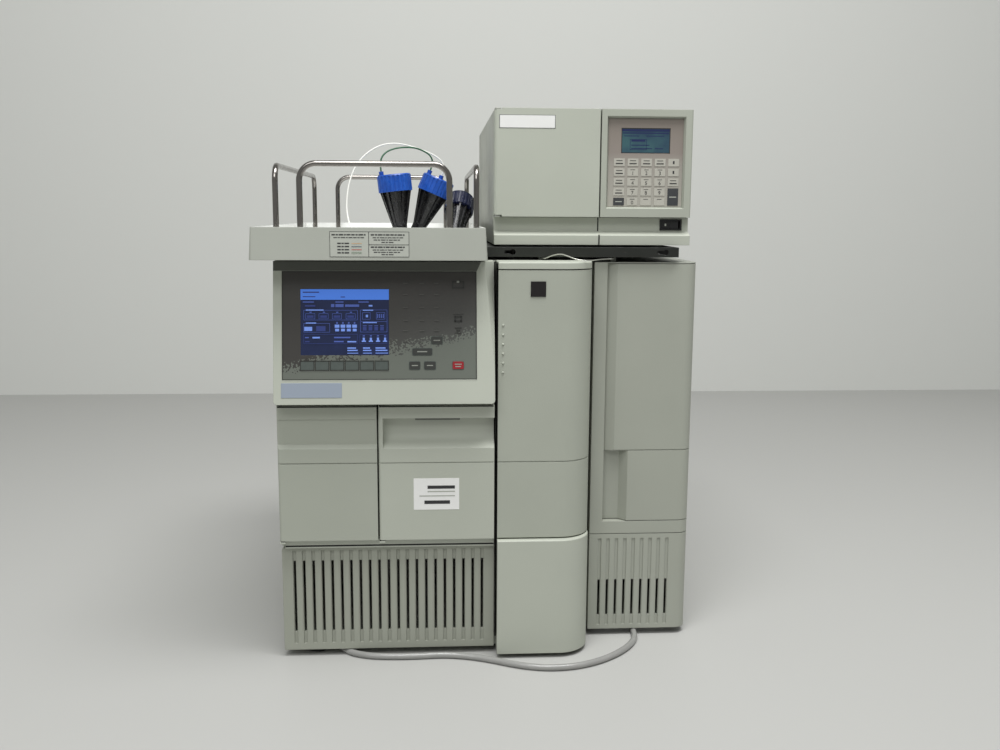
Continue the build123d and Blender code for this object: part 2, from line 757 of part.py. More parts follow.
# Two pump heads: a round head with a clamp flange and a check valve above and below.
with BuildPart() as pump_heads:
    with BuildSketch(Plane.XZ.offset(-fluidics_y)):
        with Locations(*pump_places):
            Circle(pump_radius)
    extrude(amount=pump_length)
    chamfer(pump_heads.edges().filter_by(GeomType.CIRCLE).group_by(Axis.Y)[0], 3)
    with BuildSketch(Plane.XZ.offset(-fluidics_y)):
        with Locations(*pump_places):
            Circle(pump_radius + 5)
    extrude(amount=8)
    for place_x, place_z in pump_places:
        for side in (-1, 1):
            with Locations((place_x, fluidics_y - 30, place_z + side * (pump_radius + 5))):
                Cylinder(6.5, 18)
save(pump_heads, "pump_heads")

# Four-port gradient valve block with its solenoids.
valve_x = tower_left + 42.0
valve_z = 408.0
with BuildPart() as gradient_valve:
    block((valve_x - 27, fluidics_y - 22, valve_z - 22), (valve_x + 27, fluidics_y, valve_z + 22))
    fillet(gradient_valve.edges().filter_by(Axis.Y), 3)
    with BuildSketch(Plane.XZ.offset(-(fluidics_y - 22))):
        with Locations((valve_x, valve_z)):
            with GridLocations(26, 22, 2, 2):
                Circle(8)
    extrude(amount=18)
save(gradient_valve, "gradient_valve")

vent_x = tower_left + 98.0
vent_z = 420.0
with BuildPart() as vent_valve_body:
    with BuildSketch(Plane.XZ.offset(-fluidics_y)):
        with Locations((vent_x, vent_z)):
            RegularPolygon(19, 6)
    extrude(amount=20)
    with BuildSketch(Plane.XZ.offset(-(fluidics_y - 20))):
        with Locations((vent_x, vent_z)):
            Circle(4)
    extrude(amount=16)
save(vent_valve_body, "vent_valve_body")

with BuildPart() as vent_valve_knob:
    with BuildSketch(Plane.XZ.offset(-(fluidics_y - 20.3))):
        with Locations((vent_x, vent_z)):
            Circle(15)
            with PolarLocations(15.5, 10):
                Circle(2.2, mode=Mode.SUBTRACT)
    extrude(amount=18)
    with BuildSketch(Plane.XZ.offset(-(fluidics_y - 20))):
        with Locations((vent_x, vent_z)):
            Circle(4 + pin_clearance)
    extrude(amount=16.4, mode=Mode.SUBTRACT)
save(vent_valve_knob, "vent_valve_knob")

# Drip tray under the pump heads.
with BuildPart() as drip_tray:
    block((tower_left + 10, fluidics_y - 46, 226), (x_right - 12, fluidics_y, 242))
    block((tower_left + 12, fluidics_y - 44, 228), (x_right - 14, fluidics_y - 2, 243), mode=Mode.SUBTRACT)
save(drip_tray, "drip_tray")

# ---------------------------------------------------------------- rear fan
fan_depth = 25.0
with BuildPart() as fan_frame:
    with BuildSketch(Plane.XZ.offset(-(y_rear_panel - sheet))):
        with Locations((fan_x, fan_z)):
            RectangleRounded(fan_frame_size, fan_frame_size, 5)
            Circle(fan_radius, mode=Mode.SUBTRACT)
    extrude(amount=fan_depth)
    # Motor carrier: a disc on four arms across the front of the frame.
    with BuildSketch(Plane.XZ.offset(-(y_rear_panel - sheet - fan_depth + 3))):
        with Locations((fan_x, fan_z)):
            Circle(16)
            Rectangle(2 * fan_radius + 2, 5)
            Rectangle(5, 2 * fan_radius + 2)
    extrude(amount=3)
    with BuildSketch(Plane.XZ.offset(-(y_rear_panel - sheet - fan_depth + 3))):
        with Locations((fan_x, fan_z)):
            Circle(3)
    extrude(amount=-14)
save(fan_frame, "fan_frame")

# Rotor with seven pitched blades round a hub.
rotor_y = y_rear_panel - sheet - fan_depth + 4.0
blade_tip = 37.5
hub_radius = 17.0
with BuildPart() as fan_rotor:
    with BuildSketch(Plane.XZ.offset(-rotor_y)):
        with Locations((fan_x, fan_z)):
            Circle(hub_radius)
            Circle(3 + pin_clearance, mode=Mode.SUBTRACT)
    extrude(amount=-18)
    with Locations(Plane(origin=(fan_x, rotor_y + 9, fan_z), x_dir=(1, 0, 0), z_dir=(0, -1, 0))):
        with PolarLocations((hub_radius + blade_tip) / 2 - 1, 7):
            Box(blade_tip - hub_radius + 2, 20, 1.6, rotation=(38, 0, 0))
save(fan_rotor, "fan_rotor")

# ---------------------------------------------------------------- column heater
heater_left = x_right + heater_gap
heater_right = heater_left + heater_width
heater_front = y_front + heater_setback
heater_back = heater_front + heater_depth
heater_top = module_height - heater_drop
heater_strip = 19.0          # fixed strip to the left of the door
heater_corner = 17.0
heater_wall = 3.0
heater_lid = 1.6
heater_door_left = heater_left + heater_strip + 1.0
heater_door_top = heater_top - heater_lid - 0.8
heater_body_front = heater_front + heater_door_depth + heater_swing
heater_axis = (heater_right - 3.0, heater_front + heater_door_depth + 1.0)
heater_sill = heater_door_bottom - 1.0
heater_grille_top = heater_sill - 20.0


def heater_outline(z, left, inset, rear):
    """Plan of the heater's front: a square left corner and a rounded right-hand one."""
    right = heater_right - inset
    front = heater_front + inset
    radius = heater_corner - inset
    with BuildSketch(Plane.XY.offset(z)) as outline:
        with BuildLine():
            Line((left, rear), (left, front))
            Line((left, front), (right - radius, front))
            CenterArc((right - radius, front + radius), radius, -90, 90)
            Line((right, front + radius), (right, rear))
            Line((right, rear), (left, rear))
        make_face()
    return outline.sketch


with BuildPart() as heater_housing:
    block((heater_left, heater_body_front, base_z), (heater_right, heater_back, heater_top))
    # Column compartment, open to the front, and the bay below it.
    block(
        (heater_left + heater_wall, heater_body_front - 1, heater_sill + heater_wall),
        (heater_right - heater_wall, heater_back - heater_wall, heater_top - heater_wall),
        mode=Mode.SUBTRACT,
    )
    block(
        (heater_left + heater_wall, heater_body_front - 1, base_z + heater_wall),
        (heater_right - heater_wall, heater_back - heater_wall, heater_sill - heater_wall),
        mode=Mode.SUBTRACT,
    )
    # Fixed strip beside the door, lid lip over it and band under it.
    block(
        (heater_left, heater_front, heater_grille_top + 1),
        (heater_left + heater_strip, heater_body_front, heater_top),
    )
    extrude(heater_outline(heater_top - heater_lid, heater_left, 0, heater_body_front), amount=heater_lid)
    extrude(
        heater_outline(heater_grille_top + 1, heater_left, 0, heater_body_front),
        amount=heater_sill - heater_grille_top - 1,
    )
    # Drain outlet under the floor.
    block(
        (heater_left + 65.5, heater_body_front, outlet_clear),
        (heater_left + 65.5 + outlet_width, heater_body_front + outlet_width, base_z),
    )
    bulkhead_fitting(capillary_to, heater_top)
save(heater_housing, "heater_housing")

heater_slot_pitch = 12.8
heater_slot_count = 9
with BuildPart() as heater_grille:
    extrude(
        heater_outline(base_z, heater_left, 0, heater_body_front),
        amount=heater_grille_top - base_z,
    )
    extrude(
        heater_outline(base_z - 1, heater_left + 4, 4, heater_body_front + 1),
        amount=heater_grille_top - base_z - 3,
        mode=Mode.SUBTRACT,
    )
    slots_x = heater_left + 67
    with BuildSketch(Plane.XZ.offset(-heater_front)):
        with Locations((slots_x, base_z + 75)):
            with GridLocations(heater_slot_pitch, 1, heater_slot_count, 1):
                Rectangle(slot_width + 1.6, 136)
    extrude(amount=-1.5, mode=Mode.SUBTRACT)
    with BuildSketch(Plane.XZ.offset(-heater_front)):
        with Locations((slots_x, base_z + 50)):
            with GridLocations(heater_slot_pitch, 1, heater_slot_count, 1):
                Rectangle(slot_width, 56)
    extrude(amount=-5, mode=Mode.SUBTRACT)
save(heater_grille, "heater_grille")

# Insulated trough that the column lies in.
trough_depth = 70.0
liner_back = heater_body_front + 110.0
column_x = (heater_left + heater_right) / 2 + 4
column_y = heater_body_front + 30.0
column_radius = 5.0
column_length = 250.0
column_low = (heater_sill + heater_top - column_length) / 2
with BuildPart() as heater_liner:
    block(
        (heater_left + heater_wall, heater_body_front + 1, heater_sill + heater_wall),
        (heater_right - heater_wall, liner_back, heater_top - heater_wall),
    )
    block(
        (heater_left + 28, heater_body_front, heater_sill + 30),
        (heater_right - 20, heater_body_front + trough_depth, heater_top - 30),
        mode=Mode.SUBTRACT,
    )
save(heater_liner, "heater_liner")

with BuildPart() as column_tube:
    with BuildSketch(Plane.XY.offset(column_low)):
        with Locations((column_x, column_y)):
            Circle(column_radius)
    extrude(amount=column_length)
    for low_z in (column_low, column_low + column_length - 22):
        with BuildSketch(Plane.XY.offset(low_z)):
            with Locations((column_x, column_y)):
                RegularPolygon(9, 6)
        extrude(amount=22)
save(column_tube, "column_tube")

# Two spring clips on the back of the trough grip the column.
clip_wall = 1.5
with BuildPart() as column_clips:
    for clip_z in (column_low + 60, column_low + column_length - 72):
        block(
            (column_x - 8, column_y + column_radius + 1, clip_z),
            (column_x + 8, heater_body_front + trough_depth, clip_z + 12),
        )
        with Locations((column_x, column_y, clip_z + 6)):
            Cylinder(column_radius + clip_wall, 12)
            Cylinder(column_radius + pin_clearance, 12, mode=Mode.SUBTRACT)
        block(
            (column_x - 3.5, column_y - 12, clip_z - 1),
            (column_x + 3.5, column_y, clip_z + 13),
            mode=Mode.SUBTRACT,
        )
save(column_clips, "column_clips")

# Door: a shallow tray with a bevelled left edge and, low down, a finger recess beside the bevel.
door_bevel = 14.0
recess_width = 24.0
recess_depth = 12.0
recess_top = trim_line - 1.5
heater_door_back = heater_front + heater_door_depth
heater_door_height = heater_door_top - heater_door_bottom
with BuildPart() as heater_door:
    extrude(
        heater_outline(heater_door_bottom, heater_door_left, 0, heater_door_back),
        amount=heater_door_height,
    )
    bevel_edge = heater_door.edges().filter_by(Axis.Z).group_by(Axis.Y)[0].sort_by(Axis.X)[0]
    chamfer(bevel_edge, length=door_bevel, length2=7, reference=heater_door.faces().sort_by(Axis.Y)[0])
    extrude(
        heater_outline(
            heater_door_bottom + door_skin,
            heater_door_left + recess_width + 16,
            door_skin,
            heater_door_back + 1,
        ),
        amount=heater_door_height - 2 * door_skin,
        mode=Mode.SUBTRACT,
    )
    block(
        (heater_door_left + 6, heater_front + 12, recess_top + 4),
        (heater_door_left + recess_width + 18, heater_door_back + 1, heater_door_top - door_skin),
        mode=Mode.SUBTRACT,
    )
    with BuildSketch(Plane.XY.offset(heater_door_bottom - 1)):
        with BuildLine():
            Polyline(
                (heater_door_left - 1, heater_front - 1),
                (heater_door_left + recess_width + 11, heater_front - 1),
                (heater_door_left + recess_width + 11, heater_front),
                (heater_door_left + recess_width, heater_front + recess_depth),
                (heater_door_left - 1, heater_front + recess_depth),
                close=True,
            )
        make_face()
    extrude(amount=recess_top - heater_door_bottom + 1, mode=Mode.SUBTRACT)
    # Styling groove level with the one on the module's doors.
    with BuildSketch(Plane.XY.offset(recess_top)):
        add(heater_outline(recess_top, heater_door_left - 1, -1, heater_door_back + 1))
        add(
            heater_outline(recess_top, heater_door_left - 2, groove, heater_door_back + 2),
            mode=Mode.SUBTRACT,
        )
    extrude(amount=groove, mode=Mode.SUBTRACT)
    # Ears for the hinge pins, at the rear right-hand edge.
    for low_z in (heater_door_bottom, heater_door_top - ear_height):
        with Locations((*heater_axis, low_z + ear_height / 2)):
            Cylinder(3.0, ear_height)
            Cylinder(pin_radius + pin_clearance, ear_height, mode=Mode.SUBTRACT)
save(heater_door, "heater_door")

# ---------------------------------------------------------------- detector shelf
# Folded dark sheet with a flange all round, welded to two channels that lie on the cabinet.
shelf_x = x_left + shelf_left
shelf_y = y_front + shelf_setback
shelf_back = shelf_y + shelf_depth
shelf_underside = shelf_top - shelf_thickness
keyhole_radius = 4.0
keyhole_slot = 2.4
keyhole_length = 12.0
keyhole_places = (shelf_x + 38.7, shelf_x + 259.0)
channel_width = 30.0
with BuildPart() as detector_shelf:
    block(
        (shelf_x, shelf_y, shelf_top - shelf_flange),
        (shelf_x + shelf_width, shelf_back, shelf_top),
    )
    block(
        (shelf_x + shelf_thickness, shelf_y + shelf_thickness, shelf_top - shelf_flange - 1),
        (shelf_x + shelf_width - shelf_thickness, shelf_back - shelf_thickness, shelf_underside),
        mode=Mode.SUBTRACT,
    )
    with BuildSketch(Plane.XZ.offset(-shelf_y)):
        for place_x in keyhole_places:
            with Locations((place_x, shelf_top - shelf_flange / 2)):
                Circle(keyhole_radius)
            with Locations((place_x - keyhole_length / 2, shelf_top - shelf_flange / 2)):
                SlotOverall(keyhole_length, 2 * keyhole_slot)
    extrude(amount=-shelf_thickness, mode=Mode.SUBTRACT)
    for channel_x in (shelf_x + 40, x_right - channel_width - 15):
        block(
            (channel_x, shelf_y + 20, module_height),
            (channel_x + channel_width, shelf_back - 20, shelf_underside),
        )
        block(
            (channel_x + 1.5, shelf_y + 19, module_height + 1.5),
            (channel_x + channel_width - 1.5, shelf_back - 19, shelf_underside),
            mode=Mode.SUBTRACT,
        )
save(detector_shelf, "detector_shelf")

# ---------------------------------------------------------------- detector
det_left = x_left + detector_left
det_right = det_left + detector_width
det_front = y_front + detector_setback
det_back = det_front + detector_depth
det_top = detector_base_z + detector_height
det_face_depth = 24.0        # depth of the door and of the bezel beside it
det_body_front = det_front + det_face_depth
lip_height = 14.5
band_top = detector_base_z + 39.0
det_door_bottom = band_top + 0.5
det_door_right = det_left + detector_door_width
bezel_left = det_door_right + door_gap
with BuildPart() as detector_base:
    # Moulded lip and the recessed band above it, across the whole front.
    lip = [
        (det_front, detector_base_z),
        (det_front, detector_base_z + lip_height - 1),
        (det_front + 1.5, detector_base_z + lip_height),
        (det_front + 14, detector_base_z + lip_height + 5),
        (det_front + 14, band_top),
        (det_body_front, band_top),
        (det_body_front, detector_base_z),
    ]
    extrude(side_profile(lip, det_left), amount=detector_width)
    # Seam of the lip, in line with the gap between door and bezel.
    block(
        (det_door_right, det_front - 1, detector_base_z - 1),
        (bezel_left, det_front + 3, detector_base_z + lip_height + 1),
        mode=Mode.SUBTRACT,
    )
    # Opening for the power switch.
    block(
        (det_left + 242.0, det_front + 13, detector_base_z + 21.5),
        (det_left + 273.0, det_body_front + 1, detector_base_z + 36.5),
        mode=Mode.SUBTRACT,
    )
    # Floor pan, rear wall and the optics panel behind the door.
    block((det_left, det_body_front, detector_base_z), (det_right, det_back, detector_base_z + detector_wall))
    block(
        (det_left + detector_wall, det_back - 8 - detector_wall, detector_base_z + detector_wall),
        (det_right - detector_wall, det_back - 8, det_top - detector_wall),
    )
    block(
        (det_left + detector_wall, det_body_front + 40, detector_base_z + detector_wall),
        (bezel_left, det_body_front + 42, det_top - detector_wall),
    )
    # Four feet that stand on the shelf.
    for foot_x in (det_left + 20, det_left + 241.5):
        for foot_y in (det_body_front + 15, det_front + detector_depth - 110):
            with Locations((foot_x, foot_y, (shelf_top + detector_base_z) / 2)):
                Cylinder(9, detector_base_z - shelf_top)
save(detector_base, "detector_base")

with BuildPart() as detector_cover:
    with BuildSketch(Plane.XZ.offset(-det_body_front)):
        with Locations(((det_left + det_right) / 2, (detector_base_z + detector_wall + det_top) / 2)):
            detector_shell = Rectangle(detector_width, detector_height - detector_wall)
        fillet(detector_shell.vertices().group_by(Axis.Y)[-1], 3)
        with Locations(((det_left + det_right) / 2, (detector_base_z + det_top) / 2 - detector_wall)):
            Rectangle(detector_width - 2 * detector_wall, detector_height, mode=Mode.SUBTRACT)
    extrude(amount=-(det_back - det_body_front))
save(detector_cover, "detector_cover")

# Door on the left: the axis of its hinge is the centre of its rounded edge.
det_corner = 5.0
notch = 11.0
tab_thickness = 2.0
tab_clearance = 2.0          # between a hinge tab and the wall of its notch
with BuildPart() as detector_door:
    block((det_left, det_front, det_door_bottom), (det_door_right, det_front + det_face_depth - 2, det_top))
    fillet(
        detector_door.edges().filter_by(Axis.Z).sort_by(lambda e: (e.center().Y, e.center().X))[0],
        det_corner,
    )
    block(
        (det_left + notch, det_front + door_skin, det_door_bottom + door_skin),
        (det_door_right - door_skin, det_body_front, det_top - door_skin),
        mode=Mode.SUBTRACT,
    )
    # Notches in the corners for the hinge tabs, and the pin holes.
    for low_z in (det_door_bottom - 1, det_top - tab_thickness - 0.4):
        block(
            (det_left - 1, det_front - 1, low_z),
            (det_left + notch, det_body_front, low_z + tab_thickness + 1.4),
            mode=Mode.SUBTRACT,
        )
    for end_z in (det_door_bottom, det_top):
        with Locations((det_left + det_corner, det_front + det_corner, end_z)):
            Cylinder(pin_radius + pin_clearance, 2 * (pin_length + tab_thickness), mode=Mode.SUBTRACT)
save(detector_door, "detector_door")

# Bezel with the deep window that holds the keypad and the display.
window_low = (det_left + 160.0, detector_base_z + 52.0)
window_size = (112.5, 128.5)
window_depth = 6.0
window_mid = (window_low[0] + window_size[0] / 2, window_low[1] + window_size[1] / 2)
with BuildPart() as detector_bezel:
    block((bezel_left, det_front, det_door_bottom), (det_right, det_body_front, det_top))
    fillet(
        detector_bezel.edges().filter_by(Axis.Z).sort_by(lambda e: (e.center().Y, -e.center().X))[0],
        3,
    )
    block(
        (bezel_left + door_skin, det_front + window_depth + 3, det_door_bottom + door_skin),
        (det_right - door_skin, det_body_front + 1, det_top - door_skin),
        mode=Mode.SUBTRACT,
    )
    with BuildSketch(Plane.XZ.offset(-det_front)):
        with Locations(window_mid):
            Rectangle(*window_size)
    extrude(amount=-window_depth, taper=20, mode=Mode.SUBTRACT)
save(detector_bezel, "detector_bezel")

overlay_gap = 2.4
det_overlay_y = det_front + window_depth
det_screen_low = (det_left + 180.9, detector_base_z + 129.6)
det_screen_size = (70.5, 35.3)
det_screen_mid = (det_screen_low[0] + det_screen_size[0] / 2, det_screen_low[1] + det_screen_size[1] / 2)
det_overlay_thickness = 0.8
with BuildPart() as detector_overlay:
    with BuildSketch(Plane.XZ.offset(-det_overlay_y)):
        with Locations(window_mid):
            Rectangle(window_size[0] - 2 * overlay_gap, window_size[1] - 2 * overlay_gap)
        with Locations(det_screen_mid):
            Rectangle(*det_screen_size, mode=Mode.SUBTRACT)
    extrude(amount=det_overlay_thickness)
save(detector_overlay, "detector_overlay")

with BuildPart() as detector_screen:
    with BuildSketch(Plane.XZ.offset(-det_overlay_y)):
        with Locations(det_screen_mid):
            Rectangle(*det_screen_size)
    extrude(amount=det_overlay_thickness / 2)
save(detector_screen, "detector_screen")

# Five columns of keys by five rows; the last key of the right-hand column is two rows tall.
det_key = (15.6, 10.6)
det_key_pitch = (19.6, 13.8)
det_key_low = (det_left + 171.0, detector_base_z + 56.5)
with BuildPart() as detector_keys:
    with BuildSketch(Plane.XZ.offset(-(det_overlay_y - det_overlay_thickness))):
        for column in range(5):
            for row in range(5):
                if column == 4 and row < 2:
                    continue
                with Locations(
                    (
                        det_key_low[0] + column * det_key_pitch[0] + det_key[0] / 2,
                        det_key_low[1] + row * det_key_pitch[1] + det_key[1] / 2,
                    )
                ):
                    Rectangle(*det_key)
        with Locations(
            (
                det_key_low[0] + 4 * det_key_pitch[0] + det_key[0] / 2,
                det_key_low[1] + (det_key[1] + det_key_pitch[1]) / 2,
            )
        ):
            Rectangle(det_key[0], det_key[1] + det_key_pitch[1])
    extrude(amount=0.5)
save(detector_keys, "detector_keys")

# Power switch: a frame clipped in the band and a rocker on a vertical pin.
switch_mid = (det_left + 257.5, detector_base_z + 29.0)
switch_size = (30.6, 14.6)
rocker_size = (26.0, 10.4)
rocker_y = det_front + 18.0
rocker_radius = 17.5
with BuildPart() as switch_frame:
    with BuildSketch(Plane.XZ.offset(-(det_front + 12.4))):
        with Locations(switch_mid):
            Rectangle(switch_size[0] + 1.6, switch_size[1] + 1.2)
            Rectangle(rocker_size[0] + 0.8, rocker_size[1] + 0.8, mode=Mode.SUBTRACT)
    extrude(amount=-1.6)
    with BuildSketch(Plane.XZ.offset(-(det_front + 14))):
        with Locations(switch_mid):
            Rectangle(*switch_size)
            Rectangle(rocker_size[0] + 0.8, rocker_size[1] + 0.8, mode=Mode.SUBTRACT)
    extrude(amount=-14)
    # Back wall and the pin that the rocker turns on.
    with BuildSketch(Plane.XZ.offset(-(det_front + 28))):
        with Locations(switch_mid):
            Rectangle(*switch_size)
    extrude(amount=-1.5)
    with Locations((switch_mid[0], rocker_y + 3, switch_mid[1])):
        Cylinder(1.2, switch_size[1])
save(switch_frame, "switch_frame")

# The rocker's front is a shallow V, so one half is flush when the other is pressed.
rocker_tilt = 8.0
with BuildPart() as power_rocker:
    rocker_floor = (switch_mid[0], rocker_y + 3, switch_mid[1] - rocker_size[1] / 2)
    with BuildSketch(Plane(rocker_floor).rotated((0, 0, -rocker_tilt))):
        with BuildLine():
            Polyline(
                (-rocker_size[0] / 2 + 1.2, -9.5),
                (0, -7.6),
                (rocker_size[0] / 2 - 1.2, -9.5),
                (rocker_size[0] / 2 - 2.6, -1),
                (4, 3),
                (-4, 3),
                (-rocker_size[0] / 2 + 2.6, -1),
                close=True,
            )
        make_face()
    extrude(amount=rocker_size[1])
    with Locations((switch_mid[0], rocker_y + 3, switch_mid[1])):
        Cylinder(1.2 + pin_clearance, switch_size[1] + 2, mode=Mode.SUBTRACT)
save(power_rocker, "power_rocker")

# Lamp housing with cooling fins and the flow cell, both on the optics panel.
optics_y = det_body_front + 40.0
with BuildPart() as lamp_housing:
    block(
        (det_left + 20, optics_y - 30, detector_base_z + 70),
        (det_left + 78, optics_y, detector_base_z + 150),
    )
    with Locations((det_left + 49, optics_y - 28, detector_base_z + 110)):
        with GridLocations(7, 1, 8, 1):
            Box(3, 12, 84, mode=Mode.SUBTRACT)
save(lamp_housing, "lamp_housing")

with BuildPart() as flow_cell:
    block(
        (det_left + 96, optics_y - 22, detector_base_z + 75),
        (det_left + 134, optics_y, detector_base_z + 125),
    )
    with BuildSketch(Plane.XZ.offset(-(optics_y - 22))):
        with Locations((det_left + 115, detector_base_z + 100)):
            with GridLocations(24, 34, 2, 2):
                Circle(3.5)
            Circle(8)
    extrude(amount=6)
save(flow_cell, "flow_cell")

# ---------------------------------------------------------------- hinge pins of the doors
# (x, y, height of the face that the pin stands on or hangs from, direction)
lower_pin_z = door_bottom - 1.0
upper_pin_z = door_top + 1.0
pin_places = (
    (x_left + hinge_inset, y_front + hinge_inset, lower_pin_z, 1),
    (x_left + hinge_inset, y_front + hinge_inset, upper_pin_z, -1),
    (sample_left + hinge_inset, y_front + hinge_inset, lower_pin_z, 1),
    (sample_left + hinge_inset, y_front + hinge_inset, upper_pin_z, -1),
    (*tower_axis, tower_lower_top, 1),
    (*tower_axis, cap_bottom, -1),
    (*heater_axis, heater_sill, 1),
    (*heater_axis, heater_top - heater_lid, -1),
)
det_axis = (det_left + det_corner, det_front + det_corner)
with BuildPart() as hinge_pins:
    for pin_x, pin_y, face_z, direction in pin_places:
        with Locations((pin_x, pin_y, face_z + direction * pin_length / 2)):
            Cylinder(pin_radius, pin_length)
    # Detector door: each pin hangs on a tab that reaches forward from the chassis.
    for low_z, direction in ((det_door_bottom - 0.5, 1), (det_top - tab_thickness, -1)):
        block(
            (det_left + 1, det_front + 1, low_z),
            (det_left + notch - tab_clearance, det_body_front, low_z + tab_thickness),
        )
        tab_face = low_z + tab_thickness if direction > 0 else low_z
        with Locations((*det_axis, tab_face + direction * pin_length / 2)):
            Cylinder(pin_radius, pin_length)
save(hinge_pins, "hinge_pins")

# ---------------------------------------------------------------- solvent tray
tray_bottom = module_height + tray_pad
tray_top = tray_bottom + tray_height
tray_mid_x = x_left - tray_overhang + tray_flare + tray_width / 2
tray_mid_y = y_front - tray_forward + tray_depth / 2
flare_angle = degrees(atan2(tray_flare, tray_height))
liner_wall = 1.5


def tub_outline(floor_z, inset):
    """The outline of the tray at the height floor_z, shrunk all round by inset."""
    spread = 2 * tray_flare * (tray_top - floor_z) / tray_height - 2 * inset
    with BuildSketch(Plane.XY.offset(floor_z)) as outline:
        with Locations((tray_mid_x, tray_mid_y)):
            RectangleRounded(
                tray_width + spread,
                tray_depth - 2 * tray_flare + spread,
                4.5 - inset,
            )
    return outline.sketch


core_floor = tray_bottom + tray_wall
rail_floor = core_floor + liner_wall
tube_grommet = (x_left + 110.0, y_front + 130.0)
grommet_height = 3.0
with BuildPart() as solvent_tray:
    extrude(tub_outline(tray_bottom, 0), amount=tray_top - tray_bottom, taper=flare_angle)
    extrude(
        tub_outline(core_floor, tray_wall),
        amount=tray_top - core_floor,
        taper=flare_angle,
        mode=Mode.SUBTRACT,
    )
    # Soft pads that lie on the cabinet.
    with BuildSketch(Plane.XY.offset(module_height)):
        with Locations((x_left + 140, tray_mid_y + 20)):
            with GridLocations(220, 380, 2, 2):
                Circle(12)
    extrude(amount=tray_pad)
save(solvent_tray, "solvent_tray")

# White liner with a grommet that one of the tubes is plugged into.
with BuildPart() as tray_liner:
    extrude(tub_outline(core_floor, tray_wall), amount=tray_top - core_floor, taper=flare_angle)
    extrude(
        tub_outline(rail_floor, tray_wall + liner_wall),
        amount=tray_top - rail_floor,
        taper=flare_angle,
        mode=Mode.SUBTRACT,
    )
    with Locations((*tube_grommet, rail_floor + grommet_height / 2)):
        Cylinder(5, grommet_height)
save(tray_liner, "tray_liner")

# Four stainless hoops stand in the tray, one along each side.
rail_height = module_height + rail_rise - rail_radius
front_rail_y = y_front - 20.0
back_rail_y = y_front + 508.0
side_rail_front = y_front + 36.0
side_rail_back = y_front + 492.0
hoops = (
    ((x_left + 42, front_rail_y), (x_left + 239, front_rail_y)),
    ((x_left + 42, back_rail_y), (x_left + 239, back_rail_y)),
    ((x_left + 2, side_rail_front), (x_left + 2, side_rail_back)),
    ((x_left + 277, side_rail_front), (x_left + 277, side_rail_back)),
)
with BuildPart() as tray_rails:
    for (start_x, start_y), (end_x, end_y) in hoops:
        with BuildLine() as hoop:
            FilletPolyline(
                (start_x, start_y, rail_floor),
                (start_x, start_y, rail_height),
                (end_x, end_y, rail_height),
                (end_x, end_y, rail_floor),
                radius=rail_bend,
            )
        with BuildSketch(Plane.XY.offset(rail_floor)):
            with Locations((start_x, start_y)):
                Circle(rail_radius)
        sweep(path=hoop.line)
        for foot_x, foot_y in ((start_x, start_y), (end_x, end_y)):
            with Locations((foot_x, foot_y, rail_floor + 1.5)):
                Cylinder(7, 3)
save(tray_rails, "tray_rails")

# ---------------------------------------------------------------- bottle caps in the tray
# (where the stem meets the tray floor, centre of the cap, radius of the cap), seen from the tray's
# front left; every cap stands on a black ribbed neck and a stem, and leans its own way.
cap_height = 25.0
neck_height = 50.0
stem_radius = 11.0
nipple_height = 6.0
rib_count = 12


def leaning_plane(foot, centre):
    """The plane of a cap: at its centre, square to the line from its foot."""
    axis = Vector(*centre) - Vector(*foot)
    return Plane(origin=centre, x_dir=(axis.Z, 0, -axis.X), z_dir=axis)


def tray_point(x, y, z):
    """A place given from the module's front left corner, at the height z above the bench."""
    return (x_left + x, y_front + y, z)


# Where, on the top faces of the two blue caps, the tubes are plugged in.
front_nipple = (-18.0, 0.0)
back_nipples = ((-17.0, -6.0), (2.0, 4.0))
cap_sets = (
    (tray_point(171, 150, rail_floor), tray_point(160, 150, rail_floor + 102), 25.0, (front_nipple,)),
    (tray_point(179, 200, rail_floor), tray_point(221, 200, rail_floor + 99), 25.0, back_nipples),
    (tray_point(245, 170, rail_floor), tray_point(258, 235, rail_floor + 70), 23.0, ((0.0, 0.0),)),
)
cap_planes = [leaning_plane(foot, centre) for foot, centre, _, _ in cap_sets]

with BuildPart() as bottle_caps:
    for cap_plane, (_, _, cap_radius, nipples) in zip(cap_planes, cap_sets):
        with BuildSketch(cap_plane.offset(-cap_height / 2)):
            Circle(cap_radius)
            with PolarLocations(cap_radius + 0.5, 2 * rib_count):
                Circle(1.4, mode=Mode.SUBTRACT)
        extrude(amount=cap_height - 2)
        with BuildSketch(cap_plane.offset(cap_height / 2 - 2)):
            Circle(cap_radius)
        extrude(amount=2, taper=30)
        with BuildSketch(cap_plane.offset(cap_height / 2)):
            with Locations(*nipples):
                Circle(3.5)
        extrude(amount=nipple_height)
save(bottle_caps, "bottle_caps")

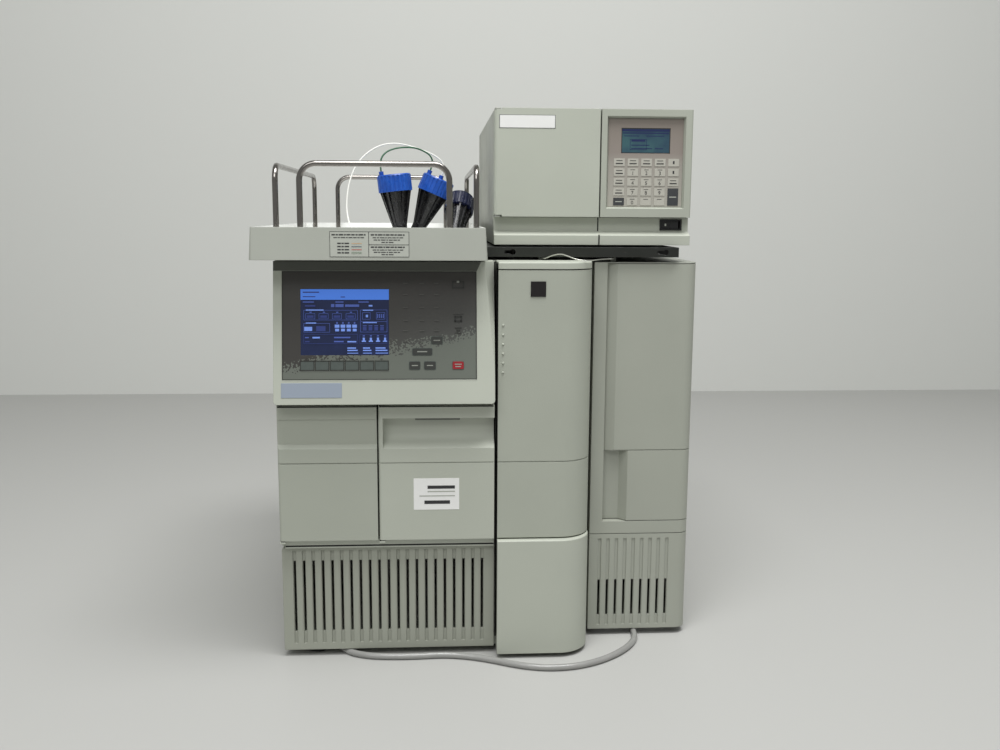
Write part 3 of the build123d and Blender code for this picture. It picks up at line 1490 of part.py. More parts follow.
# Black necks: a cone with upright ribs and a plain stem down to the tray floor.
with BuildPart() as cap_skirts:
    for cap_plane, (foot, centre, cap_radius, _) in zip(cap_planes, cap_sets):
        cone_radius = cap_radius - 2
        cone_top = -cap_height / 2
        with BuildSketch(cap_plane.offset(cone_top)):
            Circle(cone_radius - 4)
        extrude(amount=-neck_height, taper=degrees(atan2(cone_radius - 4 - stem_radius + 1, neck_height)))
        for rib in range(rib_count):
            outward = cap_plane.x_dir.rotate(Axis((0, 0, 0), cap_plane.z_dir), rib * 360 / rib_count)
            rib_side = outward.cross(cap_plane.z_dir)
            with BuildSketch(Plane(cap_plane.origin, x_dir=outward, z_dir=rib_side)):
                with BuildLine():
                    Polyline(
                        (0, cone_top),
                        (cone_radius, cone_top),
                        (stem_radius, cone_top - neck_height),
                        (0, cone_top - neck_height),
                        close=True,
                    )
                make_face()
            extrude(amount=1.1, both=True)
        with BuildSketch(cap_plane.offset(cone_top - neck_height)):
            Circle(stem_radius)
        lean_length = (Vector(*centre) - Vector(*foot)).length
        extrude(amount=neck_height - cone_top - lean_length - 12)
        block(
            (foot[0] - 40, foot[1] - 40, rail_floor - 30),
            (foot[0] + 40, foot[1] + 40, rail_floor),
            mode=Mode.SUBTRACT,
        )
save(cap_skirts, "cap_skirts")

# ---------------------------------------------------------------- hose and tubes
hose_diameter = 9.0
capillary_diameter = 1.6
line_diameter = 2.5
hose_z = hose_diameter / 2 + 0.1
capillary_z = module_height + 2.2


def sweep_tube(name, points, diameter):
    """Sweep a round tube along straight runs that are joined by tangent arcs."""
    runs = [Vector(*b) - Vector(*a) for a, b in zip(points, points[1:])]
    radii = [
        0.45 * min(a.length, b.length) / tan(radians(a.get_angle(b)) / 2) for a, b in zip(runs, runs[1:])
    ]
    with BuildLine() as route:
        FilletPolyline(*points, radius=radii)
    with BuildSketch(Plane(origin=points[0], z_dir=runs[0])) as section:
        Circle(diameter / 2)
    sweep(section.sketch, path=route.line)
    length = sum(edge.length for edge in route.edges())
    print(name, "length", round(length, 1), "radii", [round(r, 1) for r in radii])


# Drain hose on the bench, from the column heater round the tower to the module's own drain.
hose_turns = (
    (514, 34), (494, 4), (466, -22), (436, -40), (403, -50), (368, -50), (333, -39), (300, -21),
    (266, -7), (230, 0), (194, -3), (160, -3), (128, 0), (99, 11), (79, 33),
)
heater_drain_x = heater_left + 65.5 + outlet_width / 2
with BuildPart() as drain_hose:
    sweep_tube(
        "drain_hose",
        (
            (heater_drain_x, heater_body_front, hose_z),
            (heater_drain_x, heater_body_front - 31, hose_z),
            *(tray_point(x, y, hose_z) for x, y in hose_turns),
            (drain_x, drain_y - 18, hose_z),
            (drain_x, drain_y, hose_z),
        ),
        hose_diameter,
    )
save(drain_hose, "drain_hose")

# Steel capillary that loops in front of the shelf, from the module to the column.
capillary_turns = (
    (376, 48, 573.5), (384, 37, 578), (395, 29, 580.5), (405, 20, 577), (415, 12, 573),
    (428, 10, 571.6), (440, 18, 571.9), (449, 34, 572.2), (461, 51, 572.2), (478, 66, 572.2),
)
with BuildPart() as capillary_tube:
    sweep_tube(
        "capillary_tube",
        (
            (*capillary_from, capillary_z),
            (capillary_from[0], capillary_from[1] - 16, capillary_z),
            *(tray_point(*turn) for turn in capillary_turns),
            (*capillary_to, capillary_z),
        ),
        capillary_diameter,
    )
save(capillary_tube, "capillary_tube")


def nipple_run(cap_plane, place, reach):
    """The tip of a nipple, or a point straight above it."""
    return tuple(cap_plane.from_local_coords((*place, cap_height / 2 + nipple_height + reach)))


# White tube from the middle cap, in a high arc to the tray floor.
white_turns = (
    (231, 204, 713), (222, 203.5, 721), (208, 202.5, 727.5), (192, 200, 733), (175, 196, 737.5),
    (158, 191, 739.5), (140, 186, 736.5), (124, 181, 728.5), (110, 176, 716.5), (99, 171, 700.5),
    (92, 166, 681), (88.5, 161, 660), (88, 156, 640), (91.5, 149, 621), (99, 140, 606),
)
with BuildPart() as white_line:
    sweep_tube(
        "white_line",
        (
            nipple_run(cap_planes[1], back_nipples[1], 0),
            nipple_run(cap_planes[1], back_nipples[1], 11),
            *(tray_point(*turn) for turn in white_turns),
            (*tube_grommet, rail_floor + grommet_height + 13),
            (*tube_grommet, rail_floor + grommet_height),
        ),
        line_diameter,
    )
save(white_line, "white_line")

# Green tube between the two blue caps.
green_turns = (
    (141, 151.5, 717), (149, 155.5, 725.5), (162, 161.5, 730.5), (177, 169, 732.5), (191, 177, 732),
    (203, 184.5, 728), (213, 190.5, 722),
)
with BuildPart() as green_line:
    sweep_tube(
        "green_line",
        (
            nipple_run(cap_planes[0], front_nipple, 0),
            nipple_run(cap_planes[0], front_nipple, 10.6),
            *(tray_point(*turn) for turn in green_turns),
            nipple_run(cap_planes[1], back_nipples[0], 12),
            nipple_run(cap_planes[1], back_nipples[0], 0),
        ),
        line_diameter,
    )
save(green_line, "green_line")
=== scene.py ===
import math

import bmesh
import bpy
from mathutils import Matrix, Vector


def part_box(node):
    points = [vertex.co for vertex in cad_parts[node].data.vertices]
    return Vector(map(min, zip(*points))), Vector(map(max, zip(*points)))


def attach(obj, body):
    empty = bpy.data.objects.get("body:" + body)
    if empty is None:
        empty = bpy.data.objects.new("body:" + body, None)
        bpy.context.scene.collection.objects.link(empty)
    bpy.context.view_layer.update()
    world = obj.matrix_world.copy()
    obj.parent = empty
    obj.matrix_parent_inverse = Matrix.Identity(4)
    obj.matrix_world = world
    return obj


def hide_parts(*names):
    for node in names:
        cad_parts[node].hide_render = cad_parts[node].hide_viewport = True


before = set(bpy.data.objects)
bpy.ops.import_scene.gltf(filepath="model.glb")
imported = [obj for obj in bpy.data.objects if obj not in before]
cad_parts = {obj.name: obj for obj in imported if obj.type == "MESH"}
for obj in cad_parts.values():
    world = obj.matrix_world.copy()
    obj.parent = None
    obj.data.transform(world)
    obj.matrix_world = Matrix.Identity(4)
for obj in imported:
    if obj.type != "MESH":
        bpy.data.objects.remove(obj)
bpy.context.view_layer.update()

# ---------------------------------------------------------------- the bench, the wall and the light
# The stack stands on a pale bench top in front of a pale wall. Ceiling panels light it softly from
# above and a little from the front, and the room fills the shadows.
scene = bpy.context.scene
scene.view_settings.view_transform = "Standard"


def srgb(red, green, blue):
    """A colour given in 0 to 255 screen values, as linear light."""
    return [((c / 255 + 0.055) / 1.055) ** 2.4 if c > 10 else c / 255 / 12.92 for c in (red, green, blue)]


def flat_finish(name, colour, roughness):
    """One even colour, for the bench and the wall."""
    finish = bpy.data.materials.new(name)
    finish.use_nodes = True
    shader = finish.node_tree.nodes["Principled BSDF"]
    shader.inputs["Base Color"].default_value = (*colour, 1)
    shader.inputs["Roughness"].default_value = roughness
    return finish


def stage_sheet(name, corners, finish):
    """A single large face that belongs to the room."""
    mesh = bpy.data.meshes.new(name)
    mesh.from_pydata(corners, [], [tuple(range(len(corners)))])
    mesh.materials.append(finish)
    sheet = bpy.data.objects.new(name, mesh)
    scene.collection.objects.link(sheet)


room_side, wall_y = 6, 1.9
bench_corners = [(-room_side, -4, 0), (room_side, -4, 0), (room_side, wall_y, 0), (-room_side, wall_y, 0)]
wall_corners = [
    (-room_side, wall_y, 0), (room_side, wall_y, 0), (room_side, wall_y, 5), (-room_side, wall_y, 5),
]
stage_sheet("bench_top", bench_corners, flat_finish("bench_grey", srgb(181, 181, 178), 0.6))
stage_sheet("wall", wall_corners, flat_finish("wall_grey", srgb(216, 217, 213), 0.9))


def ceiling_panel(name, place, target, size, power):
    """A soft rectangular lamp that faces its target."""
    lamp = bpy.data.lights.new(name, "AREA")
    lamp.shape = "RECTANGLE"
    lamp.size, lamp.size_y = size
    lamp.energy = power
    holder = bpy.data.objects.new(name, lamp)
    holder.location = place
    holder.rotation_euler = (Vector(target) - Vector(place)).to_track_quat("-Z", "Y").to_euler()
    scene.collection.objects.link(holder)


ceiling_panel("panel_front", (-0.7, -2.4, 2.5), (0, 0, 0.4), (2.2, 1.0), 25)
ceiling_panel("panel_above", (0.3, -0.9, 3.1), (0, -0.1, 0.4), (2.2, 1.1), 88)
room = bpy.data.worlds.new("room")
room.use_nodes = True
room.node_tree.nodes["Background"].inputs["Color"].default_value = (*srgb(228, 230, 228), 1)
room.node_tree.nodes["Background"].inputs["Strength"].default_value = 0.42
scene.world = room

lens = bpy.data.cameras.new("camera")
lens.sensor_width = 36
lens.lens = 36.4
lens.clip_start = 0.05
camera = bpy.data.objects.new("camera", lens)
camera_right = Vector((0.998, -0.0624, 0.0057)).normalized()
camera_ahead = Vector((0.0625, 0.9853, -0.1588)).normalized()
camera_up = camera_right.cross(camera_ahead).normalized()
camera.matrix_world = Matrix.Translation((-0.067, -1.664, 0.637)) @ Matrix(
    (camera_right, camera_up, -camera_ahead)
).transposed().to_4x4()
scene.collection.objects.link(camera)
scene.camera = camera

# ---------------------------------------------------------------- moulded fascia parts of the module
# The doors, bezel, grille and tower covers are injection moulded in a structured grey-green plastic
# with a fine spark-eroded texture. They clip to the front frame or hang on pins.
x_left, y_front = -0.288, -0.281      # the module's left side and the plane of its doors


class Finish:
    """A material that is built up step by step: a base colour, mottling, wear, grain and soft edges."""

    def __init__(self, name, colour, roughness, metallic=0.0):
        self.colour = colour
        self.material = bpy.data.materials.new(name)
        self.material.use_nodes = True
        self.nodes = self.material.node_tree.nodes
        self.links = self.material.node_tree.links
        self.shader = self.nodes["Principled BSDF"]
        self.shader.inputs["Base Color"].default_value = (*colour, 1)
        self.shader.inputs["Roughness"].default_value = roughness
        self.shader.inputs["Metallic"].default_value = metallic
        self.material.diffuse_color = (*colour, 1)
        self.place = self.nodes.new("ShaderNodeTexCoord").outputs["Object"]

    def add(self, kind, inputs=(), **settings):
        """A node with its settings made and its inputs linked or filled in."""
        node = self.nodes.new(kind)
        for key, value in settings.items():
            setattr(node, key, value)
        for key, value in dict(inputs).items():
            if isinstance(value, bpy.types.NodeSocket):
                self.links.new(value, node.inputs[key])
            else:
                node.inputs[key].default_value = value
        return node

    def noise(self, size, detail=3.0, stretch=(1, 1, 1)):
        """Cloudy noise whose features are about size metres across."""
        scaled = self.add("ShaderNodeMapping", {"Vector": self.place, "Scale": stretch})
        cloud = self.add(
            "ShaderNodeTexNoise", {"Vector": scaled.outputs[0], "Scale": 1 / size, "Detail": detail},
        )
        return cloud.outputs["Fac"]

    def ramp(self, value, stops):
        """A colour ramp: stops are (position, colour)."""
        node = self.add("ShaderNodeValToRGB", {"Fac": value})
        elements = node.color_ramp.elements
        elements[0].position, elements[0].color = stops[0][0], (*stops[0][1], 1)
        elements[1].position, elements[1].color = stops[-1][0], (*stops[-1][1], 1)
        for position, colour in stops[1:-1]:
            elements.new(position).color = (*colour, 1)
        return node.outputs["Color"]

    def spread(self, value, low, high, to_low, to_high):
        """Map a value from one range to another."""
        node = self.add(
            "ShaderNodeMapRange",
            {"Value": value, "From Min": low, "From Max": high, "To Min": to_low, "To Max": to_high},
        )
        return node.outputs["Result"]

    def maths(self, operation, first, second):
        """Two values put together; each is a number or a node's output."""
        return self.add("ShaderNodeMath", {0: first, 1: second}, operation=operation).outputs[0]

    def blend(self, share, under, over):
        """The over colour laid on the under colour, as far as the share says."""
        under, over = (c if isinstance(c, bpy.types.NodeSocket) else (*c, 1) for c in (under, over))
        return self.add("ShaderNodeMix", {"Factor": share, 6: under, 7: over}, data_type="RGBA").outputs[2]

    def paint(self, colour):
        """Take the base colour from a node's output."""
        self.links.new(colour, self.shader.inputs["Base Color"])
        return self

    def mottle(self, amount, size):
        """Faint cloudy variation of the base colour."""
        dark = [c * (1 - amount) for c in self.colour]
        light = [min(1, c * (1 + amount)) for c in self.colour]
        return self.paint(self.ramp(self.noise(size), [(0.3, dark), (0.7, light)]))

    def along(self, axis):
        """Place along one axis of the shared frame."""
        return self.add("ShaderNodeSeparateXYZ", {"Vector": self.place}).outputs[axis]

    def overlay(self, mask, colour):
        """A second colour over the base colour, as far as the mask says."""
        base = self.shader.inputs["Base Color"].links[0].from_socket
        return self.paint(self.blend(mask, base, colour))

    def uneven_gloss(self, low, high, size):
        """Handled surfaces are a little glossier in places."""
        self.links.new(self.spread(self.noise(size), 0.3, 0.7, low, high), self.shader.inputs["Roughness"])
        return self

    def grain(self, depth, size, edge=0.0009, stretch=(1, 1, 1)):
        """Surface texture, with the sharp edges of the part rounded off."""
        soft = self.add("ShaderNodeBevel", {"Radius": edge}, samples=4)
        cloud = self.noise(size, 2.0, stretch)
        bump = self.add(
            "ShaderNodeBump",
            {"Height": cloud, "Distance": depth, "Strength": 1.0, "Normal": soft.outputs[0]},
        )
        self.links.new(bump.outputs[0], self.shader.inputs["Normal"])
        return self


def dress(finish, *nodes):
    """Give the finish to whole carried-over parts."""
    for node in nodes:
        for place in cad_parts[node].material_slots:
            place.material = finish.material


def moulded(name, colour):
    """Structured plastic of the fascia parts, which differ a little in tone."""
    plastic = Finish(name, colour, 0.55).mottle(0.022, 0.11)
    return plastic.uneven_gloss(0.48, 0.62, 0.05).grain(0.00012, 0.0011, 0.0012)


fascia_colour = srgb(181, 185, 173)
fascia_plastic = moulded("fascia_plastic", fascia_colour)
dress(fascia_plastic, "tower_cap", "tower_lower_cover", "sample_door")
door_plastic = moulded("door_plastic", srgb(170, 174, 162))
dress(door_plastic, "tower_door", "left_door")
dress(moulded("grille_plastic", srgb(158, 161, 149)), "lower_grille")
# The frame is darkened above its sill: painted shade for the gaps of the doors.
painted_gap_shade = srgb(18, 18, 17)
sill_top = 0.1765
frame_plastic = moulded("frame_plastic", fascia_colour)
over_sill = frame_plastic.spread(frame_plastic.along("Z"), sill_top, sill_top + 0.0005, 0.0, 1.0)
off_side = frame_plastic.spread(frame_plastic.along("X"), x_left + 0.0012, x_left + 0.0018, 0.0, 1.0)
frame_plastic.overlay(frame_plastic.maths("MULTIPLY", over_sill, off_side), painted_gap_shade)
dress(frame_plastic, "front_frame")
# A darker band along the bezel's head stands for the shade under the tray. It ends in a slant.
film_head, film_right = 0.3775 + 0.1821 * 0.9848, x_left + 0.2761
band_slant = 0.47
bezel_plastic = moulded("bezel_plastic", fascia_colour)
over_film = bezel_plastic.spread(bezel_plastic.along("Z"), film_head, film_head + 0.0006, 0.0, 1.0)
slanted = bezel_plastic.maths("MULTIPLY", bezel_plastic.along("Z"), band_slant)
band_side = bezel_plastic.maths("SUBTRACT", bezel_plastic.along("X"), slanted)
band_end = film_right - band_slant * film_head
before_end = bezel_plastic.spread(band_side, band_end, band_end + 0.0008, 1.0, 0.0)
bezel_plastic.overlay(bezel_plastic.maths("MULTIPLY", over_film, before_end), srgb(84, 86, 80))
dress(bezel_plastic, "display_bezel")
# The latch is a darker grey than the fascia, as painted shade under the roof of the door's scoop.
latch_painted_shade = Finish("latch_painted_shade", srgb(104, 107, 100), 0.5).mottle(0.04, 0.02)
latch_painted_shade.grain(0.00008, 0.001, 0.0005)
dress(latch_painted_shade, "sample_latch")

# ---------------------------------------------------------------- steel cabinet and feet
# Folded sheet steel in a powder coat that is matched to the plastic: floor pan, cover and rear
# panel. Four black rubber feet are screwed under the pan.
powder_coat = Finish("powder_coat", srgb(174, 177, 167), 0.5).mottle(0.03, 0.16)
powder_coat.uneven_gloss(0.42, 0.58, 0.07).grain(0.00016, 0.0019, 0.0014)
dress(powder_coat, "base_pan", "cabinet_cover", "rear_panel", "hinge_pins")
foot_rubber = Finish("foot_rubber", srgb(38, 38, 38), 0.8).mottle(0.15, 0.01).grain(0.0001, 0.0006, 0.001)
dress(foot_rubber, "leveling_feet")

# ---------------------------------------------------------------- chassis and decks
# Zinc-plated sheet steel, spot welded. The plating has a faint blue-yellow bloom. The darkened front
# edge stands for the shade in the gaps between the doors.
zinc_plate = Finish("zinc_plate", srgb(160, 161, 158), 0.38, 0.9)
bloom_tones = [(0.3, srgb(156, 158, 160)), (0.7, srgb(166, 165, 158))]
zinc_plate.paint(zinc_plate.ramp(zinc_plate.noise(0.03), bloom_tones))
zinc_plate.overlay(
    zinc_plate.spread(zinc_plate.along("Y"), y_front + 0.044, y_front + 0.046, 1.0, 0.0), painted_gap_shade,
)
zinc_plate.uneven_gloss(0.28, 0.5, 0.02).grain(0.00005, 0.002, 0.0006)
dress(zinc_plate, "inner_chassis", "fluidics_panel")

# ---------------------------------------------------------------- operator panel of the bezel
# A printed polyester film covers the sloping face. It is dark at the top, breaks up into speckles
# along a wavy line and ends in a lighter grey; the blanked keys lie under it as low raised pads.
bezel_foot = Vector((x_left, y_front - 0.022, 0.3775))
bezel_rise = Vector((0, 0.034, 0.1925)).normalized()
bezel_out = Vector((0, -0.1925, 0.034)).normalized()

film_dark, film_grey, film_light = srgb(60, 58, 55), srgb(84, 86, 83), srgb(104, 109, 101)
printed_film = Finish("printed_film", film_grey, 0.42)
film_x, film_z = printed_film.along("X"), printed_film.along("Z")
u_place = printed_film.maths("ADD", film_x, -x_left)
# Height above the wavy line, which climbs to the right.
line_height = printed_film.maths("MULTIPLY", u_place, 0.163)
above_line = printed_film.maths("SUBTRACT", film_z, line_height)
distance_up = printed_film.spread(above_line, 0.3971, 0.4571, -1.5, 1.5)
swell = printed_film.spread(printed_film.noise(0.03, 1.0), 0.3, 0.7, -0.25, 0.25)
speckle = printed_film.spread(printed_film.noise(0.0024, 0.0), 0.35, 0.65, -0.4, 0.4)
broken = printed_film.maths("ADD", printed_film.maths("ADD", distance_up, swell), speckle)
dark_share = printed_film.spread(broken, -0.04, 0.04, 0.0, 1.0)
fade = printed_film.spread(u_place, 0.09, 0.26, 0.0, 1.0)
height_fade = printed_film.spread(film_z, 0.53, 0.44, 0.0, 1.0)
fade_share = printed_film.maths("MULTIPLY", fade, height_fade)
upper = printed_film.ramp(fade_share, [(0.0, film_dark), (1.0, film_grey)])
printed_film.paint(printed_film.blend(dark_share, film_light, upper)).grain(0.00003, 0.0006, 0.0003)
dress(printed_film, "keypad_overlay")


def mesh_of(name, shape):
    """The mesh of a shape that is ready."""
    mesh = bpy.data.meshes.new(name)
    shape.to_mesh(mesh)
    shape.free()
    return mesh


def placed(name, mesh, finishes, body):
    """The mesh as a piece of its own, which rides its body."""
    for finish in finishes:
        mesh.materials.append(finish.material)
    piece = bpy.data.objects.new(name, mesh)
    scene.collection.objects.link(piece)
    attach(piece, body)


def plate(name, corner, right, up, size, thickness, finish, body, round_by=0.0006):
    """A thin rounded plate: corner is its lower left corner on the face that carries it."""
    right, up = Vector(right).normalized(), Vector(up).normalized()
    out = right.cross(up)
    width, height = size
    shape = bmesh.new()
    ring = []
    for mid_x, mid_y, start in (
        (width - round_by, round_by, -90),
        (width - round_by, height - round_by, 0),
        (round_by, height - round_by, 90),
        (round_by, round_by, 180),
    ):
        for step in range(5):
            angle = math.radians(start + step * 22.5)
            ring.append((mid_x + round_by * math.cos(angle), mid_y + round_by * math.sin(angle)))
    rows = []
    for lift, inset in ((0, 0), (thickness * 0.7, 0), (thickness, thickness * 0.3)):
        row = []
        for x, y in ring:
            x += inset * (1 if x < width / 2 else -1)
            y += inset * (1 if y < height / 2 else -1)
            row.append(shape.verts.new(Vector(corner) + right * x + up * y + out * lift))
        rows.append(row)
    for lower, higher in zip(rows, rows[1:]):
        for i in range(len(ring)):
            j = (i + 1) % len(ring)
            shape.faces.new((lower[i], lower[j], higher[j], higher[i]))
    shape.faces.new(rows[-1])
    shape.faces.new(list(reversed(rows[0])))
    placed(name, mesh_of(name, shape), [finish], body)


def print_marks(name, origin, right, up, marks, finishes, body, lift=0.00012):
    """Flat printed marks: each is (left, bottom, width, height, which finish), in metres on the face."""
    right, up = Vector(right).normalized(), Vector(up).normalized()
    out = right.cross(up)
    corners, faces, inks = [], [], []
    for left, bottom, width, height, ink in marks:
        first = len(corners)
        far_x, far_y = left + width, bottom + height
        for x, y in ((left, bottom), (far_x, bottom), (far_x, far_y), (left, far_y)):
            corners.append(Vector(origin) + right * x + up * y + out * lift * (1 + 0.25 * ink))
        faces.append((first, first + 1, first + 2, first + 3))
        inks.append(ink)
    mesh = bpy.data.meshes.new(name)
    mesh.from_pydata(corners, [], faces)
    placed(name, mesh, finishes, body)
    for face, ink in zip(mesh.polygons, inks):
        face.material_index = ink


def mm(values):
    """Millimetres to metres for a row of marks; the last entry says which finish."""
    return [(*(v / 1000 for v in mark[:4]), mark[4]) for mark in values]


def outline_marks(left, bottom, width, height, line, ink):
    """The four sides of a printed frame."""
    return [
        (left, bottom, width, line, ink),
        (left, bottom + height - line, width, line, ink),
        (left, bottom, line, height, ink),
        (left + width - line, bottom, line, height, ink),
    ]


def print_and_shade_ink(name, colour):
    """Flat ink, for screen print and for lines of painted shade."""
    return Finish(name, colour, 0.5).grain(0.00001, 0.0007, 0.0001)


key_film = Finish("key_film", srgb(78, 86, 82), 0.45).mottle(0.06, 0.006).grain(0.00003, 0.0007, 0.0005)
dress(key_film, "display_keys")
dark_ink = print_and_shade_ink("dark_ink", srgb(46, 47, 44))
pale_ink = print_and_shade_ink("pale_ink", srgb(146, 149, 141))
faint_ink = print_and_shade_ink("faint_ink", srgb(84, 84, 80))
film_face = bezel_foot + bezel_out * 0.0002
# Marks of the blank keypad, the paper-feed and lamp signs, and a tick over every soft key.
film_marks = []
for row_v in (165.9, 150.6, 132.9, 115.2, 101.1, 86.9):
    for column_u in (178.7, 201.0, 220.8):
        film_marks.append((column_u - 3.2, row_v - 1.0, 6.4, 1.1, 2))
film_marks += outline_marks(12.1, 34.0, 263.7, 147.8, 0.8, 0)
film_marks += outline_marks(242.5, 158.7, 16.4, 10.0, 1.8, 0)
film_marks += [(249.0, 166.2, 3.4, 2.6, 1)]
film_marks += outline_marks(245.5, 112.6, 10.4, 8.0, 2.0, 0) + [(243.4, 122.6, 14.6, 0.6, 0)]
film_marks += [(246.0, 103.6, 9.4, 1.3, 0), (248.0, 99.6, 5.4, 2.2, 0), (246.0, 96.4, 9.4, 1.3, 0)]
soft_key_count, soft_key_pitch = 6, 20.1
for key in range(soft_key_count):
    film_marks.append((44.0 + key * soft_key_pitch, 61.6, 3.0, 1.2, 0))
    film_marks += outline_marks(36.2 + key * soft_key_pitch, 46.4, 19.2, 13.6, 1.0, 0)
print_marks(
    "film_marks", film_face, (1, 0, 0), bezel_rise, mm(film_marks), [dark_ink, pale_ink, faint_ink],
    "cabinet", 0.00085,
)

# ---------------------------------------------------------------- module display
# A backlit blue liquid crystal panel behind the film: a pale header bar over a dark blue field with
# light line-work for pumps, bottles, vials and soft-key legends.


def backlit(name, colour, glow):
    """A part of a lit display."""
    finish = Finish(name, colour, 0.25)
    finish.shader.inputs["Emission Color"].default_value = (*colour, 1)
    finish.shader.inputs["Emission Strength"].default_value = glow
    return finish


field_blue = backlit("display_field", srgb(18, 26, 58), 0.3)
field_blue.paint(field_blue.ramp(field_blue.noise(0.04), [(0.3, srgb(22, 30, 56)), (0.7, srgb(29, 41, 78))]))
header_blue = backlit("display_header", srgb(66, 112, 200), 0.5)
line_blue = backlit("display_lines", srgb(66, 84, 150), 0.45)
bright_blue = backlit("display_bright", srgb(104, 132, 204), 0.5)
dim_blue = backlit("display_dim", srgb(44, 56, 110), 0.4)
dress(field_blue, "display_screen")
display_origin = bezel_foot + bezel_rise * 0.0675 + Vector((0.037, 0, 0))
# Marks lie on a panel 90 mm high, from its lower left corner; inks: header, line, bright, dim.
panel_width = 119.3
display_marks = [(0, 75.4, panel_width, 14.4, 0)]
display_marks += [(3, 84.8, 22, 1.6, 3), (3, 79.0, 17, 1.2, 3), (54, 78.6, 6, 1.2, 3)]
display_marks += [(3, 71.6, 15, 1.5, 1), (47, 71.6, 11, 1.5, 1), (78, 71.6, 14, 1.5, 1)]
display_marks += [(6, 66, 14, 2.2, 3), (41, 65.4, 4.5, 4.2, 1), (47, 65.4, 11, 4.2, 1)]
display_marks += [(60, 65.8, 19, 3.2, 1), (92, 66.2, 5, 2.2, 2)]
display_marks += outline_marks(4, 47.6, 73, 13.8, 0.5, 1) + [(7, 60.6, 24, 1.6, 2)]
for box_left in (6.5, 24.5, 42.5, 61):
    display_marks += outline_marks(box_left, 49.2, 13, 7.6, 0.5, 1)
    display_marks += [(box_left + 2, 50.8, 9, 3.4, 3), (box_left + 5.5, 57.6, 3, 1.6, 1)]
display_marks += outline_marks(80.5, 31.2, 36.5, 30.6, 0.5, 1) + [(80.5, 45.4, 36.5, 0.5, 1)]
display_marks += outline_marks(83.2, 48.6, 11, 9.6, 0.5, 1) + outline_marks(102, 48.6, 12, 9.6, 0.5, 1)
display_marks += [(88, 51.5, 3, 3.5, 2), (84, 60.4, 14, 1.5, 2), (84, 43.6, 19, 1.5, 2)]
for dot in range(4):
    left = 84 + 7.8 * dot
    display_marks += [(103.4 + 2.6 * dot, 50.6, 1.4, 5.4, 1), (left, 33.4, 5.0, 5.4, 3)]
    display_marks.append((left, 39.6, 5.0, 0.8, 1))
display_marks += outline_marks(4, 31, 35.5, 12.4, 0.5, 1)
display_marks += [(7, 43.0, 14, 1.5, 2), (5, 33.0, 10.6, 5.6, 2), (21, 32.6, 12.6, 7.0, 3)]
for tube in range(4):
    left = 46 + 7.9 * tube
    display_marks += [(left, 37.4, 6.2, 4.2, 2), (left + 0.6, 32.4, 5.2, 3.6, 2)]
    display_marks.append((left + 2, 42.6, 2.2, 2.6, 1))
display_marks += outline_marks(4, 15.6, 73, 13, 0.5, 3)
display_marks += [(16, 22.8, 10, 2.2, 2), (6, 23.2, 5, 1.6, 1), (6, 17.6, 6, 1.6, 3)]
display_marks += [(45, 23, 22, 2.0, 1), (45, 17.6, 13, 1.8, 1), (63, 17.4, 12, 1.8, 2)]
display_marks += outline_marks(79.6, 15.6, 37.4, 12.6, 0.5, 3)
for valve in range(4):
    left = 82.4 + 9.6 * valve
    display_marks += [(left, 18.0, 5.6, 1.8, 2), (left + 1.4, 19.8, 2.8, 4.0, 2)]
    display_marks.append((left + 1.4, 25.4, 2.8, 1.6, 1))
for left, width in ((63, 14.5), (84, 12), (101, 17)):
    display_marks += [(left, 8.8, width * 0.8, 1.7, 2), (left, 5.6, width * 0.95, 1.7, 2)]
    display_marks.append((left, 2.2, width, 1.0, 2))
print_marks(
    "display_picture", display_origin + bezel_out * 0.0002, (1, 0, 0), bezel_rise, mm(display_marks),
    [header_blue, line_blue, bright_blue, dim_blue], "cabinet", 0.0004,
)

# ---------------------------------------------------------------- name plates and labels
# Thin anodised name plates, left bare, and paper labels under clear film. They are glued on.
plate_blue = Finish("plate_blue", srgb(152, 162, 176), 0.4, 0.1).grain(0.00001, 0.0005, 0.0002)
paper_white = Finish("paper_white", srgb(236, 236, 234), 0.45).mottle(0.01, 0.01)
paper_grey = Finish("paper_grey", srgb(172, 175, 166), 0.5).mottle(0.02, 0.01)
ink_black = print_and_shade_ink("ink_black", srgb(44, 44, 46))
plate(
    "bezel_name_plate", bezel_foot + Vector((0.0105, 0, 0)) + bezel_rise * 0.0095, (1, 0, 0), bezel_rise,
    (0.0819, 0.0201), 0.0006, plate_blue, "cabinet",
)
plate(
    "stock_label", (x_left + 0.1880, y_front, 0.2220), (1, 0, 0), (0, 0, 1),
    (0.0640, 0.0454), 0.0003, paper_white, "sample_door",
)
plate(
    "detector_name_plate", (x_left + 0.3110, y_front + 0.070, 0.7547), (1, 0, 0), (0, 0, 1),
    (0.0777, 0.0169), 0.0005, paper_white, "detector_door",
)

# ---------------------------------------------------------------- badge and grip nubs of the tower
# A square of dark brushed aluminium is glued near the top of the tower door. The nubs are moulded
# with the door and share its plastic.
badge_metal = Finish("badge_metal", srgb(36, 33, 34), 0.42, 0.4).mottle(0.1, 0.004)
badge_metal.grain(0.00003, 0.0016, 0.0004, (1, 1, 14))
dress(badge_metal, "tower_badge")

